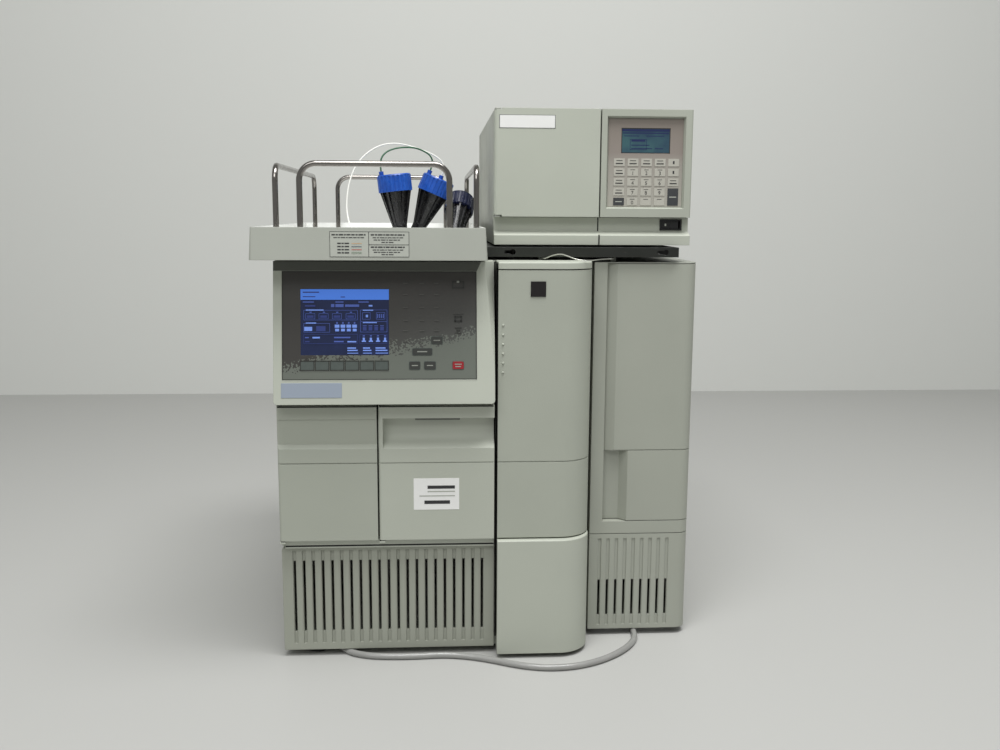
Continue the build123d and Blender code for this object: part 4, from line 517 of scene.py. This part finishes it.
# ---------------------------------------------------------------- syringe drive in the left bay
# A black anodised drive block clamps a glass syringe upright; its steel plunger is pushed from below.
black_anodised = Finish("black_anodised", srgb(34, 35, 37), 0.4, 0.25).mottle(0.08, 0.02)
black_anodised.uneven_gloss(0.34, 0.5, 0.03).grain(0.00005, 0.0008, 0.0008)
dress(black_anodised, "syringe_drive", "vent_valve_knob", "carousel_wheel")
barrel_glass = Finish("barrel_glass", srgb(236, 242, 242), 0.04)
barrel_glass.shader.inputs["Transmission Weight"].default_value = 1.0
barrel_glass.shader.inputs["IOR"].default_value = 1.47
barrel_glass.grain(0.00001, 0.004, 0.0004)
dress(barrel_glass, "syringe_barrel", "sample_vials")
turned_steel = Finish("turned_steel", srgb(176, 176, 174), 0.28, 1.0).mottle(0.06, 0.01)
turned_steel.uneven_gloss(0.2, 0.36, 0.008).grain(0.00003, 0.0009, 0.0005, (1, 1, 6))
dress(turned_steel, "syringe_plunger", "vent_valve_body", "column_clips", "flow_cell")

# Graduation lines fired on the glass barrel.
barrel_low, barrel_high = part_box("syringe_barrel")
barrel_x = (barrel_low.x + barrel_high.x) / 2
graduations = []
for line in range(11):
    length = 5.0 if line % 5 == 0 else 3.0
    graduations.append((-length / 2, 12.0 + line * 6.0, length, 0.4, 0))
print_marks(
    "barrel_graduations", (barrel_x, barrel_low.y - 0.0001, barrel_low.z), (1, 0, 0), (0, 0, 1),
    mm(graduations), [ink_black], "cabinet", 0.00015,
)

# ---------------------------------------------------------------- sample chamber
# The chamber is lined with dark closed-cell foam board that keeps the vials cool round the carousel.
chamber_foam = Finish("chamber_foam", srgb(58, 59, 61), 0.85).mottle(0.12, 0.006)
chamber_foam.grain(0.0004, 0.0016, 0.001)
dress(chamber_foam, "sample_chamber", "heater_liner")

# Septum caps: a small blue cap with a pale disc closes every vial of the carousel.
vial_cap_blue = Finish("vial_cap_blue", srgb(46, 92, 170), 0.35).mottle(0.05, 0.004).grain(0.00004, 0.0012)
septum_white = Finish("septum_white", srgb(226, 222, 212), 0.6).mottle(0.03, 0.002)
vial_low, vial_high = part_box("sample_vials")
ring_x, ring_y = (vial_low.x + vial_high.x) / 2, (vial_low.y + vial_high.y) / 2
vial_ring = 0.055


def turned(name, profile, places, finish, body, sides=24):
    """A turned piece: profile is a row of (radius, height) from its foot up, closed at both ends."""
    shape = bmesh.new()
    for x, y, z in places:
        rings = []
        for radius, height in profile:
            if radius == 0:
                rings.append([shape.verts.new((x, y, z + height))])
                continue
            ring = []
            for k in range(sides):
                angle = math.tau * k / sides
                corner = (x + radius * math.cos(angle), y + radius * math.sin(angle), z + height)
                ring.append(shape.verts.new(corner))
            rings.append(ring)
        for lower, upper in zip(rings, rings[1:]):
            for k in range(sides):
                n = (k + 1) % sides
                if len(lower) == 1:
                    shape.faces.new((lower[0], upper[n], upper[k]))
                elif len(upper) == 1:
                    shape.faces.new((lower[k], lower[n], upper[0]))
                else:
                    shape.faces.new((lower[k], lower[n], upper[n], upper[k]))
    bmesh.ops.recalc_face_normals(shape, faces=shape.faces)
    mesh = mesh_of(name, shape)
    for face in mesh.polygons:
        face.use_smooth = True
    mesh.set_sharp_from_angle(angle=math.radians(35))
    placed(name, mesh, [finish], body)


vial_count = 20
vial_tops = []
for vial in range(vial_count):
    angle = math.tau * vial / vial_count
    vial_x, vial_y = ring_x + vial_ring * math.cos(angle), ring_y + vial_ring * math.sin(angle)
    vial_tops.append((vial_x, vial_y, vial_high.z))
cap_profile = [
    (0, 0.0002), (0.0056, 0.0002), (0.0058, 0.001), (0.0058, 0.0052), (0.0052, 0.0058), (0.0030, 0.0058),
    (0.0030, 0.0054), (0, 0.0054),
]
turned("vial_caps", cap_profile, vial_tops, vial_cap_blue, "carousel")
septum_profile = [(0, 0.0054), (0.0029, 0.0054), (0.0029, 0.0057), (0, 0.0057)]
turned("vial_septa", septum_profile, vial_tops, septum_white, "carousel", 16)

# ---------------------------------------------------------------- solvent delivery behind the tower door
# Polished stainless pump heads, a white ceramic-filled valve block and a black vent knob are bolted
# to the zinc-plated panel, over a white drip tray.
polished_steel = Finish("polished_steel", srgb(192, 192, 190), 0.14, 1.0).mottle(0.03, 0.02)
polished_steel.uneven_gloss(0.08, 0.2, 0.02).grain(0.000015, 0.003, 0.0008)
dress(polished_steel, "pump_heads", "column_tube")
valve_white = Finish("valve_white", srgb(216, 215, 208), 0.4).mottle(0.02, 0.02).grain(0.00004, 0.001, 0.0007)
dress(valve_white, "gradient_valve", "drip_tray")


def socket_screws(name, places, axis, radius, height, finish, body):
    """Socket-head cap screws: a cylinder with a chamfered rim and a hexagon socket, at each place."""
    turn = Vector((0, 0, 1)).rotation_difference(Vector(axis)).to_matrix()
    shape = bmesh.new()
    for place in places:
        rings = []
        for share, lift, hexagon in (
            (1.0, 0, False), (1.0, 0.85, False), (0.88, 1.0, False), (0.5, 1.0, True), (0.5, 0.45, True),
        ):
            ring = []
            for k in range(18):
                angle = math.tau * (k // 3) / 6 if hexagon else math.tau * k / 18
                reach = share * radius
                point = Vector((reach * math.cos(angle), reach * math.sin(angle), lift * height))
                ring.append(shape.verts.new(Vector(place) + turn @ point))
            rings.append(ring)
        for lower, upper in zip(rings, rings[1:]):
            for k in range(18):
                n = (k + 1) % 18
                shape.faces.new((lower[k], lower[n], upper[n], upper[k]))
        shape.faces.new(rings[-1])
        shape.faces.new(list(reversed(rings[0])))
    bmesh.ops.remove_doubles(shape, verts=shape.verts, dist=1e-6)
    bmesh.ops.recalc_face_normals(shape, faces=shape.faces)
    placed(name, mesh_of(name, shape), [finish], body)


# Four screws hold each pump head and the valve block.
head_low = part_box("pump_heads")[0]
screw_places = []
tower_left = x_left + 0.306
for head_x in (tower_left + 0.038, tower_left + 0.097):
    for turn_x, turn_z in ((-1, -1), (1, -1), (-1, 1), (1, 1)):
        screw_places.append((head_x + turn_x * 0.0088, head_low.y, 0.300 + turn_z * 0.0088))
socket_screws(
    "pump_head_screws", screw_places, (0, -1, 0), 0.0028, 0.0030, turned_steel, "cabinet",
)

# ---------------------------------------------------------------- rear fan
# A black glass-filled frame and rotor on a ball bearing, screwed inside the rear panel.
fan_plastic = Finish("fan_plastic", srgb(30, 30, 31), 0.5).mottle(0.1, 0.02).grain(0.00006, 0.0009, 0.0007)
dress(fan_plastic, "fan_frame", "fan_rotor")
fan_x, fan_z, rear_y = x_left + 0.320, 0.120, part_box("rear_panel")[1].y
# Wire finger guard over the fan opening.
guard_wire = 0.0009
guard_reach = 0.052
guard_shape = bmesh.new()


def wire_ring(centre, across_wire):
    """Eight corners round the wire."""
    ring = []
    for s in range(8):
        angle = math.tau * s / 8
        out = Vector((0, guard_wire * math.sin(angle), 0))
        ring.append(guard_shape.verts.new(centre + across_wire * guard_wire * math.cos(angle) + out))
    return ring


def wire_skin(here, after):
    """The wire's surface from one ring of corners to the next."""
    for s in range(8):
        t = (s + 1) % 8
        guard_shape.faces.new((here[s], here[t], after[t], after[s]))


for ring_radius in (0.010, 0.019, 0.028, 0.037, 0.0435):
    steps = 48
    loop = []
    for k in range(steps):
        angle = math.tau * k / steps
        across_wire = Vector((math.cos(angle), 0, math.sin(angle)))
        centre = Vector((fan_x, rear_y + 0.0021, fan_z)) + across_wire * ring_radius
        loop.append(wire_ring(centre, across_wire))
    for k in range(steps):
        wire_skin(loop[k], loop[(k + 1) % steps])
for spoke in range(4):
    angle = math.tau * (spoke + 0.5) / 4
    outward = Vector((math.cos(angle), 0, math.sin(angle)))
    side = Vector((-math.sin(angle), 0, math.cos(angle)))
    hub = Vector((fan_x, rear_y + 0.0009, fan_z))
    ends = [wire_ring(hub + outward * reach, side) for reach in (0.009, guard_reach)]
    wire_skin(ends[0], ends[1])
    guard_shape.faces.new(list(reversed(ends[0])))
    guard_shape.faces.new(ends[1])
bmesh.ops.recalc_face_normals(guard_shape, faces=guard_shape.faces)
guard_mesh = mesh_of("fan_guard", guard_shape)
for face in guard_mesh.polygons:
    face.use_smooth = True
placed("fan_guard", guard_mesh, [turned_steel], "cabinet")
guard_screws = []
for spoke in range(4):
    angle = math.tau * (spoke + 0.5) / 4
    screw_x, screw_z = fan_x + guard_reach * math.cos(angle), fan_z + guard_reach * math.sin(angle)
    guard_screws.append((screw_x, rear_y, screw_z))
socket_screws(
    "fan_guard_screws", guard_screws, (0, 1, 0), 0.0032, 0.0024, turned_steel, "cabinet",
)
# Screws along the edge of the rear panel.
panel_screws = [(x_left + x, rear_y, z) for x in (0.012, 0.429) for z in (0.030, 0.200, 0.380, 0.550)]
socket_screws(
    "rear_panel_screws", panel_screws, (0, 1, 0), 0.0035, 0.0022, turned_steel, "cabinet",
)

# ---------------------------------------------------------------- column heater
# A narrow steel case in the same coat, a shade darker, with moulded door and grille; the column
# lies in a foam trough behind the door.
heater_colour = srgb(164, 167, 156)
heater_coat = Finish("heater_coat", heater_colour, 0.5).mottle(0.03, 0.12)
heater_coat.uneven_gloss(0.42, 0.58, 0.06).grain(0.00016, 0.0019, 0.0014)
dress(heater_coat, "heater_housing")
heater_plastic = Finish("heater_plastic", heater_colour, 0.52).mottle(0.022, 0.1)
heater_plastic.uneven_gloss(0.46, 0.6, 0.05).grain(0.00012, 0.0011, 0.0012)
dress(heater_plastic, "heater_door", "heater_grille")

# ---------------------------------------------------------------- detector shelf
# Folded sheet steel in a dark satin coat with a few bright scuffs along the flange.
shelf_colour = srgb(38, 40, 36)
shelf_coat = Finish("shelf_coat", shelf_colour, 0.42, 0.2)
scuffs = shelf_coat.noise(0.006, 4.0, (0.25, 1, 1))
scuff_tones = [(0.0, shelf_colour), (0.66, shelf_colour), (0.74, srgb(70, 72, 68))]
shelf_coat.paint(shelf_coat.ramp(scuffs, scuff_tones))
shelf_coat.uneven_gloss(0.34, 0.52, 0.03).grain(0.00006, 0.0014, 0.0008)
dress(shelf_coat, "detector_shelf")

# ---------------------------------------------------------------- detector
# A coated steel cover over a moulded front. The left half is a hinged door; the right half carries
# a printed keypad film in taupe with a small display, and a rocker switch sits in the band below.
dress(powder_coat, "detector_cover")
dress(fascia_plastic, "detector_base", "detector_door")
dress(door_plastic, "detector_bezel")
taupe = srgb(152, 140, 132)
taupe_film = Finish("taupe_film", taupe, 0.42)
film_height = taupe_film.spread(taupe_film.along("Z"), 0.640, 0.772, 0.0, 1.0)
taupe_film.paint(taupe_film.ramp(film_height, [
    (0.0, srgb(172, 170, 160)), (0.5, srgb(158, 153, 145)), (0.62, srgb(144, 135, 128)),
    (1.0, srgb(134, 126, 118)),
]))
taupe_film.grain(0.00003, 0.0006, 0.0003)
dress(taupe_film, "detector_overlay")
pale_key = Finish("pale_key", srgb(182, 180, 170), 0.45).mottle(0.03, 0.01).grain(0.00003, 0.0007, 0.0004)
dress(pale_key, "detector_keys")
small_display = backlit("small_display", srgb(50, 80, 92), 0.06)
display_tones = [(0.3, srgb(40, 60, 84)), (0.7, srgb(60, 94, 100))]
small_display.paint(small_display.ramp(small_display.noise(0.03), display_tones))
dress(small_display, "detector_screen")
switch_black = Finish("switch_black", srgb(24, 24, 25), 0.35).mottle(0.1, 0.004)
switch_black.grain(0.00004, 0.0008, 0.0005)
dress(switch_black, "switch_frame", "power_rocker")
cast_lamp = Finish("cast_lamp", srgb(128, 130, 132), 0.45, 0.8).mottle(0.06, 0.01)
cast_lamp.grain(0.00012, 0.0014, 0.0008)
dress(cast_lamp, "lamp_housing")

# Legends of the detector's keypad: digits on the middle keys, short bars on the others, and dark
# films over the two corner keys. The display shows a few dim lines.
key_front = y_front + 0.0747
film_shadow = Finish("key_shadow", srgb(62, 64, 66), 0.4).mottle(0.08, 0.004).grain(0.00002, 0.0007, 0.0002)
grid_left, grid_foot, column_pitch, row_pitch = 474.5, 648.0, 19.6, 13.8
detector_legends = [(grid_left, grid_foot, 15.6, 10.6, 1), (552.9, grid_foot, 15.6, 24.4, 1)]
for column in range(5):
    for row in range(5):
        left, bottom = grid_left + column * column_pitch, grid_foot + row * row_pitch
        if column == 4 and row in (0, 1):
            continue
        if column in (1, 2, 3) and row < 4:
            detector_legends.append((left + 4.4, bottom + 8.4, 6.8, 0.7, 0))
        elif column == 4 and row > 2:
            detector_legends.append((left + 6.6, bottom + 3.4, 2.4, 4.2, 0))
        elif (column, row) != (0, 0):
            detector_legends.append((left + 3.4, bottom + 7.2, 8.8, 0.9, 0))
            detector_legends.append((left + 2.6, bottom + 2.8, 10.4, 1.5, 0))
detector_legends += [(477.5, 652.6, 9.4, 1.2, 2), (555.6, 659.4, 10.2, 1.3, 2)]
print_marks(
    "detector_legends", (x_left, key_front, 0), (1, 0, 0), (0, 0, 1), mm(detector_legends),
    [ink_black, film_shadow, paper_grey], "cabinet", 0.00015,
)
digit_corners, digit_faces = [], []
for column, row, digit in (
    (1, 3, "1"), (2, 3, "2"), (3, 3, "3"), (1, 2, "4"), (2, 2, "5"), (3, 2, "6"), (1, 1, "7"), (2, 1, "8"),
    (3, 1, "9"), (1, 0, "0"),
):
    letter = bpy.data.curves.new("digit", "FONT")
    letter.body, letter.size, letter.align_x = digit, 0.0072, "CENTER"
    carrier = bpy.data.objects.new("digit", letter)
    outline = bpy.data.meshes.new_from_object(carrier)
    first = len(digit_corners)
    middle_x, foot_z = x_left + 0.4823 + column * 0.0196, 0.6496 + row * 0.0138
    digit_corners += [(middle_x + v.co.x, key_front - 0.0002, foot_z + v.co.y) for v in outline.vertices]
    digit_faces += [[first + i for i in face.vertices] for face in outline.polygons]
    bpy.data.objects.remove(carrier)
    bpy.data.curves.remove(letter)
    bpy.data.meshes.remove(outline)
digit_mesh = bpy.data.meshes.new("detector_digits")
digit_mesh.from_pydata(digit_corners, [], digit_faces)
placed("detector_digits", digit_mesh, [ink_black], "cabinet")
readout_ink = backlit("readout_ink", srgb(34, 44, 84), 0.1)
readout_marks = [(486.5, 748.6, 66, 1.6, 0), (488, 744.8, 22, 1.0, 0), (520, 744.8, 26, 1.0, 0)]
readout_marks += [(499, 737.6, 20, 2.6, 0), (499, 732.0, 26, 1.1, 0)]
readout_marks += [(499, 727.4, 30, 1.1, 0), (533, 727.4, 12, 1.1, 0)]
readout_marks += outline_marks(497, 726, 24, 15, 0.6, 0) + [(484.8, 751.6, 69.6, 3.2, 0)]
readout_marks += outline_marks(484.4, 721.1, 70.5, 35.3, 1.2, 1)
print_marks(
    "detector_readout", (x_left, y_front + 0.0756, 0), (1, 0, 0), (0, 0, 1), mm(readout_marks),
    [readout_ink, ink_black], "cabinet", 0.0001,
)
# Dark lines in the band and the lip stand for the shade in the seam between door and keypad half.
seam_shade = Finish("seam_shade", painted_gap_shade, 0.6).grain(0.00001, 0.0007, 0.0001)
for name, depth, low, high in (("band_seam", 0.084, 606.4, 630.4), ("lip_seam", 0.070, 592.4, 605.6)):
    print_marks(
        name, (x_left, y_front + depth, 0), (1, 0, 0), (0, 0, 1), mm([(453.6, low, 1.8, high - low, 0)]),
        [seam_shade], "cabinet", 0.0002,
    )
# The pale mark on the rocker, and painted shade as a dark line round the name plate's recess.
print_marks(
    "rocker_mark", (x_left, y_front + 0.0832, 0), (1, 0, 0), (0, 0, 1), mm([(552.2, 618.8, 2.4, 3.4, 0)]),
    [paper_grey], "power_rocker", 0.0001,
)
plate_shade = print_and_shade_ink("plate_shade", srgb(96, 98, 98))
print_marks(
    "detector_plate_rim", (x_left, y_front + 0.070, 0), (1, 0, 0), (0, 0, 1),
    mm(outline_marks(310.2, 753.9, 79.3, 18.5, 0.8, 0)), [plate_shade],
    "detector_door", 0.0001,
)

# Films over the module's keys, with bars for their legends. The stop key is red, the others are dark.
red_film = Finish("red_film", srgb(146, 28, 36), 0.42).mottle(0.08, 0.004).grain(0.00002, 0.0007, 0.0004)
shift_film = Finish("shift_film", srgb(52, 54, 51), 0.42).mottle(0.06, 0.004)
shift_film.grain(0.00002, 0.0007, 0.0004)
key_top = bezel_foot + bezel_out * 0.0006
for name, left, bottom, width, height, film in (
    ("stop_key_film", 242.9, 48.0, 15.1, 10.4, red_film),
    ("enter_key_film", 188.3, 67.5, 26.5, 9.0, shift_film),
    ("cancel_key_film", 213.8, 82.6, 15.2, 9.8, shift_film),
    ("shift_key_film", 183.9, 48.0, 14.4, 10.4, shift_film),
    ("page_key_film", 204.2, 48.0, 15.3, 10.4, shift_film),
):
    plate(
        name, key_top + Vector((left / 1000, 0, 0)) + bezel_rise * (bottom / 1000), (1, 0, 0), bezel_rise,
        (width / 1000, height / 1000), 0.0002, film, "cabinet", 0.0018,
    )
module_legends = [(left + 3.2, 52.4, 8.4, 1.3, 0) for left in (183.9, 204.6)]
module_legends += [(217.0, 86.8, 9, 1.2, 0), (194.6, 71.2, 13.6, 1.5, 0)]
module_legends += [(245.8, 54.0, 9.4, 1.3, 0), (246.6, 50.8, 7.6, 1.3, 0)]
print_marks(
    "module_key_legends", key_top, (1, 0, 0), bezel_rise, mm(module_legends), [pale_ink],
    "cabinet", 0.0004,
)

# ---------------------------------------------------------------- solvent tray
# A moulded tray with a white liner lies on the module. Four bent tubes of polished stainless steel
# stand in it as rails, and a printed label is stuck to its front.
tray_plastic = Finish("tray_plastic", srgb(170, 173, 164), 0.5).mottle(0.02, 0.1)
tray_plastic.uneven_gloss(0.42, 0.58, 0.05).grain(0.00012, 0.0011, 0.0012)
dress(tray_plastic, "solvent_tray")
liner_white = Finish("liner_white", srgb(243, 244, 241), 0.38).mottle(0.015, 0.05)
liner_white.uneven_gloss(0.3, 0.46, 0.03).grain(0.00008, 0.0012, 0.0008)
dress(liner_white, "tray_liner")
rail_steel = Finish("rail_steel", srgb(140, 136, 132), 0.16, 1.0).mottle(0.04, 0.03)
rail_steel.uneven_gloss(0.1, 0.24, 0.012).grain(0.00002, 0.002, 0.0004)
dress(rail_steel, "tray_rails")

tray_face_up = Vector((0, 0.0027, 0.043)).normalized()
label_corner = Vector((x_left + 0.0813, y_front - 0.03775, 0.5775))
label_film = Finish("label_film", srgb(178, 181, 172), 0.4).mottle(0.02, 0.01)
plate(
    "tray_label", label_corner, (1, 0, 0), tray_face_up, (0.1048, 0.0342), 0.0002, label_film,
    "cabinet",
)


def word_bars(left, bottom, width, height, ink):
    """A line of print, as bars as long as words."""
    bars = []
    place, turn = left, 0
    while place < left + width - 1:
        word = min((4.6, 3.0, 6.2, 2.2, 5.2)[turn % 5], left + width - place)
        bars.append((place, bottom, word, height, ink))
        place += word + 0.9
        turn += 1
    return bars


amber = print_and_shade_ink("amber_ink", srgb(206, 168, 128))
slate = print_and_shade_ink("slate_ink", srgb(72, 88, 104))
brick = print_and_shade_ink("brick_ink", srgb(176, 62, 52))
leaf = print_and_shade_ink("leaf_ink", srgb(72, 106, 74))
label_marks = outline_marks(0.4, 0.4, 104.0, 33.4, 0.6, 0)
label_marks += [(51.0, 0.6, 0.7, 33.0, 0), (51.4, 16.2, 52.8, 0.7, 0)]
label_marks += word_bars(3.0, 28.6, 45, 1.7, 0) + word_bars(5.5, 25.2, 40, 1.1, 0)
for line, ink in enumerate((1, 2, 3, 4)):
    label_marks += word_bars(10.4, 17.4 - 4.1 * line, 15.4, 1.7, 0)
    label_marks.append((28.8, 17.8 - 4.1 * line, 13.4, 0.8, ink))
for head, low in ((28.6, 0), (12.6, 1)):
    label_marks += word_bars(54.0, head, 45, 1.7, 0) + word_bars(56.5, head - 3.4, 40, 1.1, 0)
    label_marks += word_bars(58.0, head - 6.4, 36, 1.1, 0) + word_bars(68.0, head - 9.4, 17, 1.1, 0)
print_marks(
    "tray_label_print", label_corner, (1, 0, 0), tray_face_up, mm(label_marks),
    [ink_black, amber, slate, brick, leaf], "cabinet", 0.0004,
)
print_marks(
    "stock_label_print", (x_left + 0.1880, y_front - 0.0003, 0.2220), (1, 0, 0), (0, 0, 1),
    mm([
        (19.5, 30.4, 38.5, 4.6, 0), (19.5, 25.6, 38.5, 1.6, 1), (8, 19.4, 50, 1.4, 1), (15, 8.4, 36, 5.0, 0),
    ]),
    [ink_black, paper_grey], "sample_door", 0.0002,
)
# Thin black strips along the doors' heads and under the sill are painted shade for those gaps.
shade_strip_black = Finish("shade_strip_black", painted_gap_shade, 0.75).mottle(0.1, 0.004).grain(0.00005, 0.0009, 0.0002)
for name, left, right, body in (
    ("left_head_shade_strip", 1.5, 138, "left_door"), ("sample_head_shade_strip", 141, 300, "sample_door"),
):
    plate(
        name, (x_left + left / 1000, y_front, 0.3695), (1, 0, 0), (0, 0, 1), ((right - left) / 1000, 0.0018),
        0.0003, shade_strip_black, body, 0.0002,
    )
plate(
    "sill_shade_strip", (x_left + 0.0065, y_front + 0.008, 0.1672), (1, 0, 0), (0, 0, 1), (0.2950, 0.0022),
    0.0004, shade_strip_black, "cabinet", 0.0002,
)

# ---------------------------------------------------------------- bottle caps
# Blue polypropylene screw caps with ribbed rims on black ribbed necks. The third cap, behind on the
# right, is the same blue; its navy colour is painted shade.
cap_blue, cap_shaded_blue = srgb(28, 80, 172), srgb(24, 30, 60)
cap_plastic = Finish("cap_plastic", cap_blue, 0.3)
cap_sum = cap_plastic.maths("ADD", cap_plastic.along("X"), cap_plastic.along("Y"))
cap_third = cap_plastic.maths("GREATER_THAN", cap_sum, -0.111)
cap_cloud = cap_plastic.noise(0.012)
blue_cloud = cap_plastic.ramp(cap_cloud, [(0.3, srgb(24, 72, 160)), (0.7, srgb(32, 88, 184))])
shaded_cap_cloud = cap_plastic.ramp(cap_cloud, [(0.3, srgb(24, 29, 58)), (0.7, cap_shaded_blue)])
cap_plastic.paint(cap_plastic.blend(cap_third, blue_cloud, shaded_cap_cloud))
cap_plastic.uneven_gloss(0.24, 0.4, 0.01).grain(0.00005, 0.0009, 0.0008)
dress(cap_plastic, "bottle_caps")
neck_plastic = Finish("neck_plastic", srgb(19, 19, 21), 0.28).mottle(0.2, 0.012)
neck_plastic.uneven_gloss(0.2, 0.38, 0.01).grain(0.00005, 0.0009, 0.0007)
dress(neck_plastic, "cap_skirts")

# ---------------------------------------------------------------- hose and tubes
# The drain hose is clear vinyl gone milky; it lies on the bench from the heater's outlet to the
# module's. The capillary is a thin steel tube, and the two solvent lines are fluoropolymer tubing.


def free_tube(name, turns, diameter, finish, node):
    """A smooth round tube along its turns, given in millimetres from the module's front left foot."""
    route = bpy.data.curves.new(name, "CURVE")
    route.dimensions = "3D"
    route.bevel_depth = diameter / 2
    route.bevel_resolution = 5
    route.use_fill_caps = True
    line = route.splines.new("NURBS")
    line.points.add(len(turns) - 1)
    for point, (x, y, z) in zip(line.points, turns):
        point.co = (x_left + x / 1000, y_front + y / 1000, z / 1000, 1)
    line.order_u = 3
    line.use_endpoint_u = True
    line.resolution_u = 10
    route.materials.append(finish.material)
    tube = bpy.data.objects.new(name, route)
    scene.collection.objects.link(tube)
    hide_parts(node)
    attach(tube, "cabinet")


milky_vinyl = Finish("milky_vinyl", srgb(168, 168, 165), 0.22).mottle(0.05, 0.03)
milky_vinyl.shader.inputs["Transmission Weight"].default_value = 0.25
milky_vinyl.shader.inputs["Coat Weight"].default_value = 0.3
milky_vinyl.grain(0.00004, 0.004, 0.0004)
free_tube(
    "vinyl_hose",
    [
        (521, 93.8, 4.6), (521, 62.8, 4.6), (514, 34, 4.6), (494, 4, 4.6), (466, -22, 4.6), (436, -40, 4.6),
        (403, -50, 4.6), (368, -50, 4.6), (333, -39, 4.6), (300, -21, 4.6), (266, -7, 4.6), (230, 0, 4.6),
        (194, -3, 4.6), (160, -3, 4.6), (128, 0, 4.6), (99, 11, 4.6), (79, 33, 4.6), (70, 58, 4.6),
        (70, 76, 4.6),
    ],
    0.009, milky_vinyl, "drain_hose",
)
capillary_steel = Finish("capillary_steel", srgb(206, 206, 198), 0.25, 0.7).mottle(0.05, 0.01)
capillary_steel.grain(0.00001, 0.002, 0.0002)
free_tube(
    "steel_capillary",
    [
        (372, 78, 572.2), (372, 62, 572.2), (376, 48, 573.5), (384, 37, 578), (395, 29, 580.5),
        (405, 20, 577),
        (415, 12, 573), (428, 10, 571.6), (440, 18, 571.9), (449, 34, 572.2), (461, 51, 572.2),
        (478, 66, 572.2),
        (478, 82, 572.2),
    ],
    0.0016, capillary_steel, "capillary_tube",
)
white_tubing = Finish("white_tubing", srgb(232, 232, 226), 0.35).mottle(0.02, 0.01)
white_tubing.grain(0.00001, 0.003, 0.0002)
free_tube(
    "white_solvent_line",
    [
        (230.07, 204, 692.25), (234.36, 204, 702.38), (231, 204, 713), (222, 203.5, 721), (208, 202.5, 727.5),
        (192, 200, 733), (175, 196, 737.5), (158, 191, 739.5), (140, 186, 736.5), (124, 181, 728.5),
        (110, 176, 716.5), (99, 171, 700.5), (92, 166, 681), (88.5, 161, 660), (88, 156, 640),
        (91.5, 149, 621),
        (99, 140, 606), (110, 130, 593), (110, 130, 580),
    ],
    0.0025, white_tubing, "white_line",
)
green_tubing = Finish("green_tubing", srgb(58, 100, 74), 0.35).mottle(0.08, 0.01)
green_tubing.grain(0.00001, 0.003, 0.0002)
free_tube(
    "green_solvent_line",
    [
        (140.12, 150, 695.46), (138.98, 150, 706.0), (141, 151.5, 717), (149, 155.5, 725.5),
        (162, 161.5, 730.5),
        (177, 169, 732.5), (191, 177, 732), (203, 184.5, 728), (213, 190.5, 722), (217.26, 194, 710.72),
        (212.58, 194, 699.67),
    ],
    0.0025, green_tubing, "green_line",
)
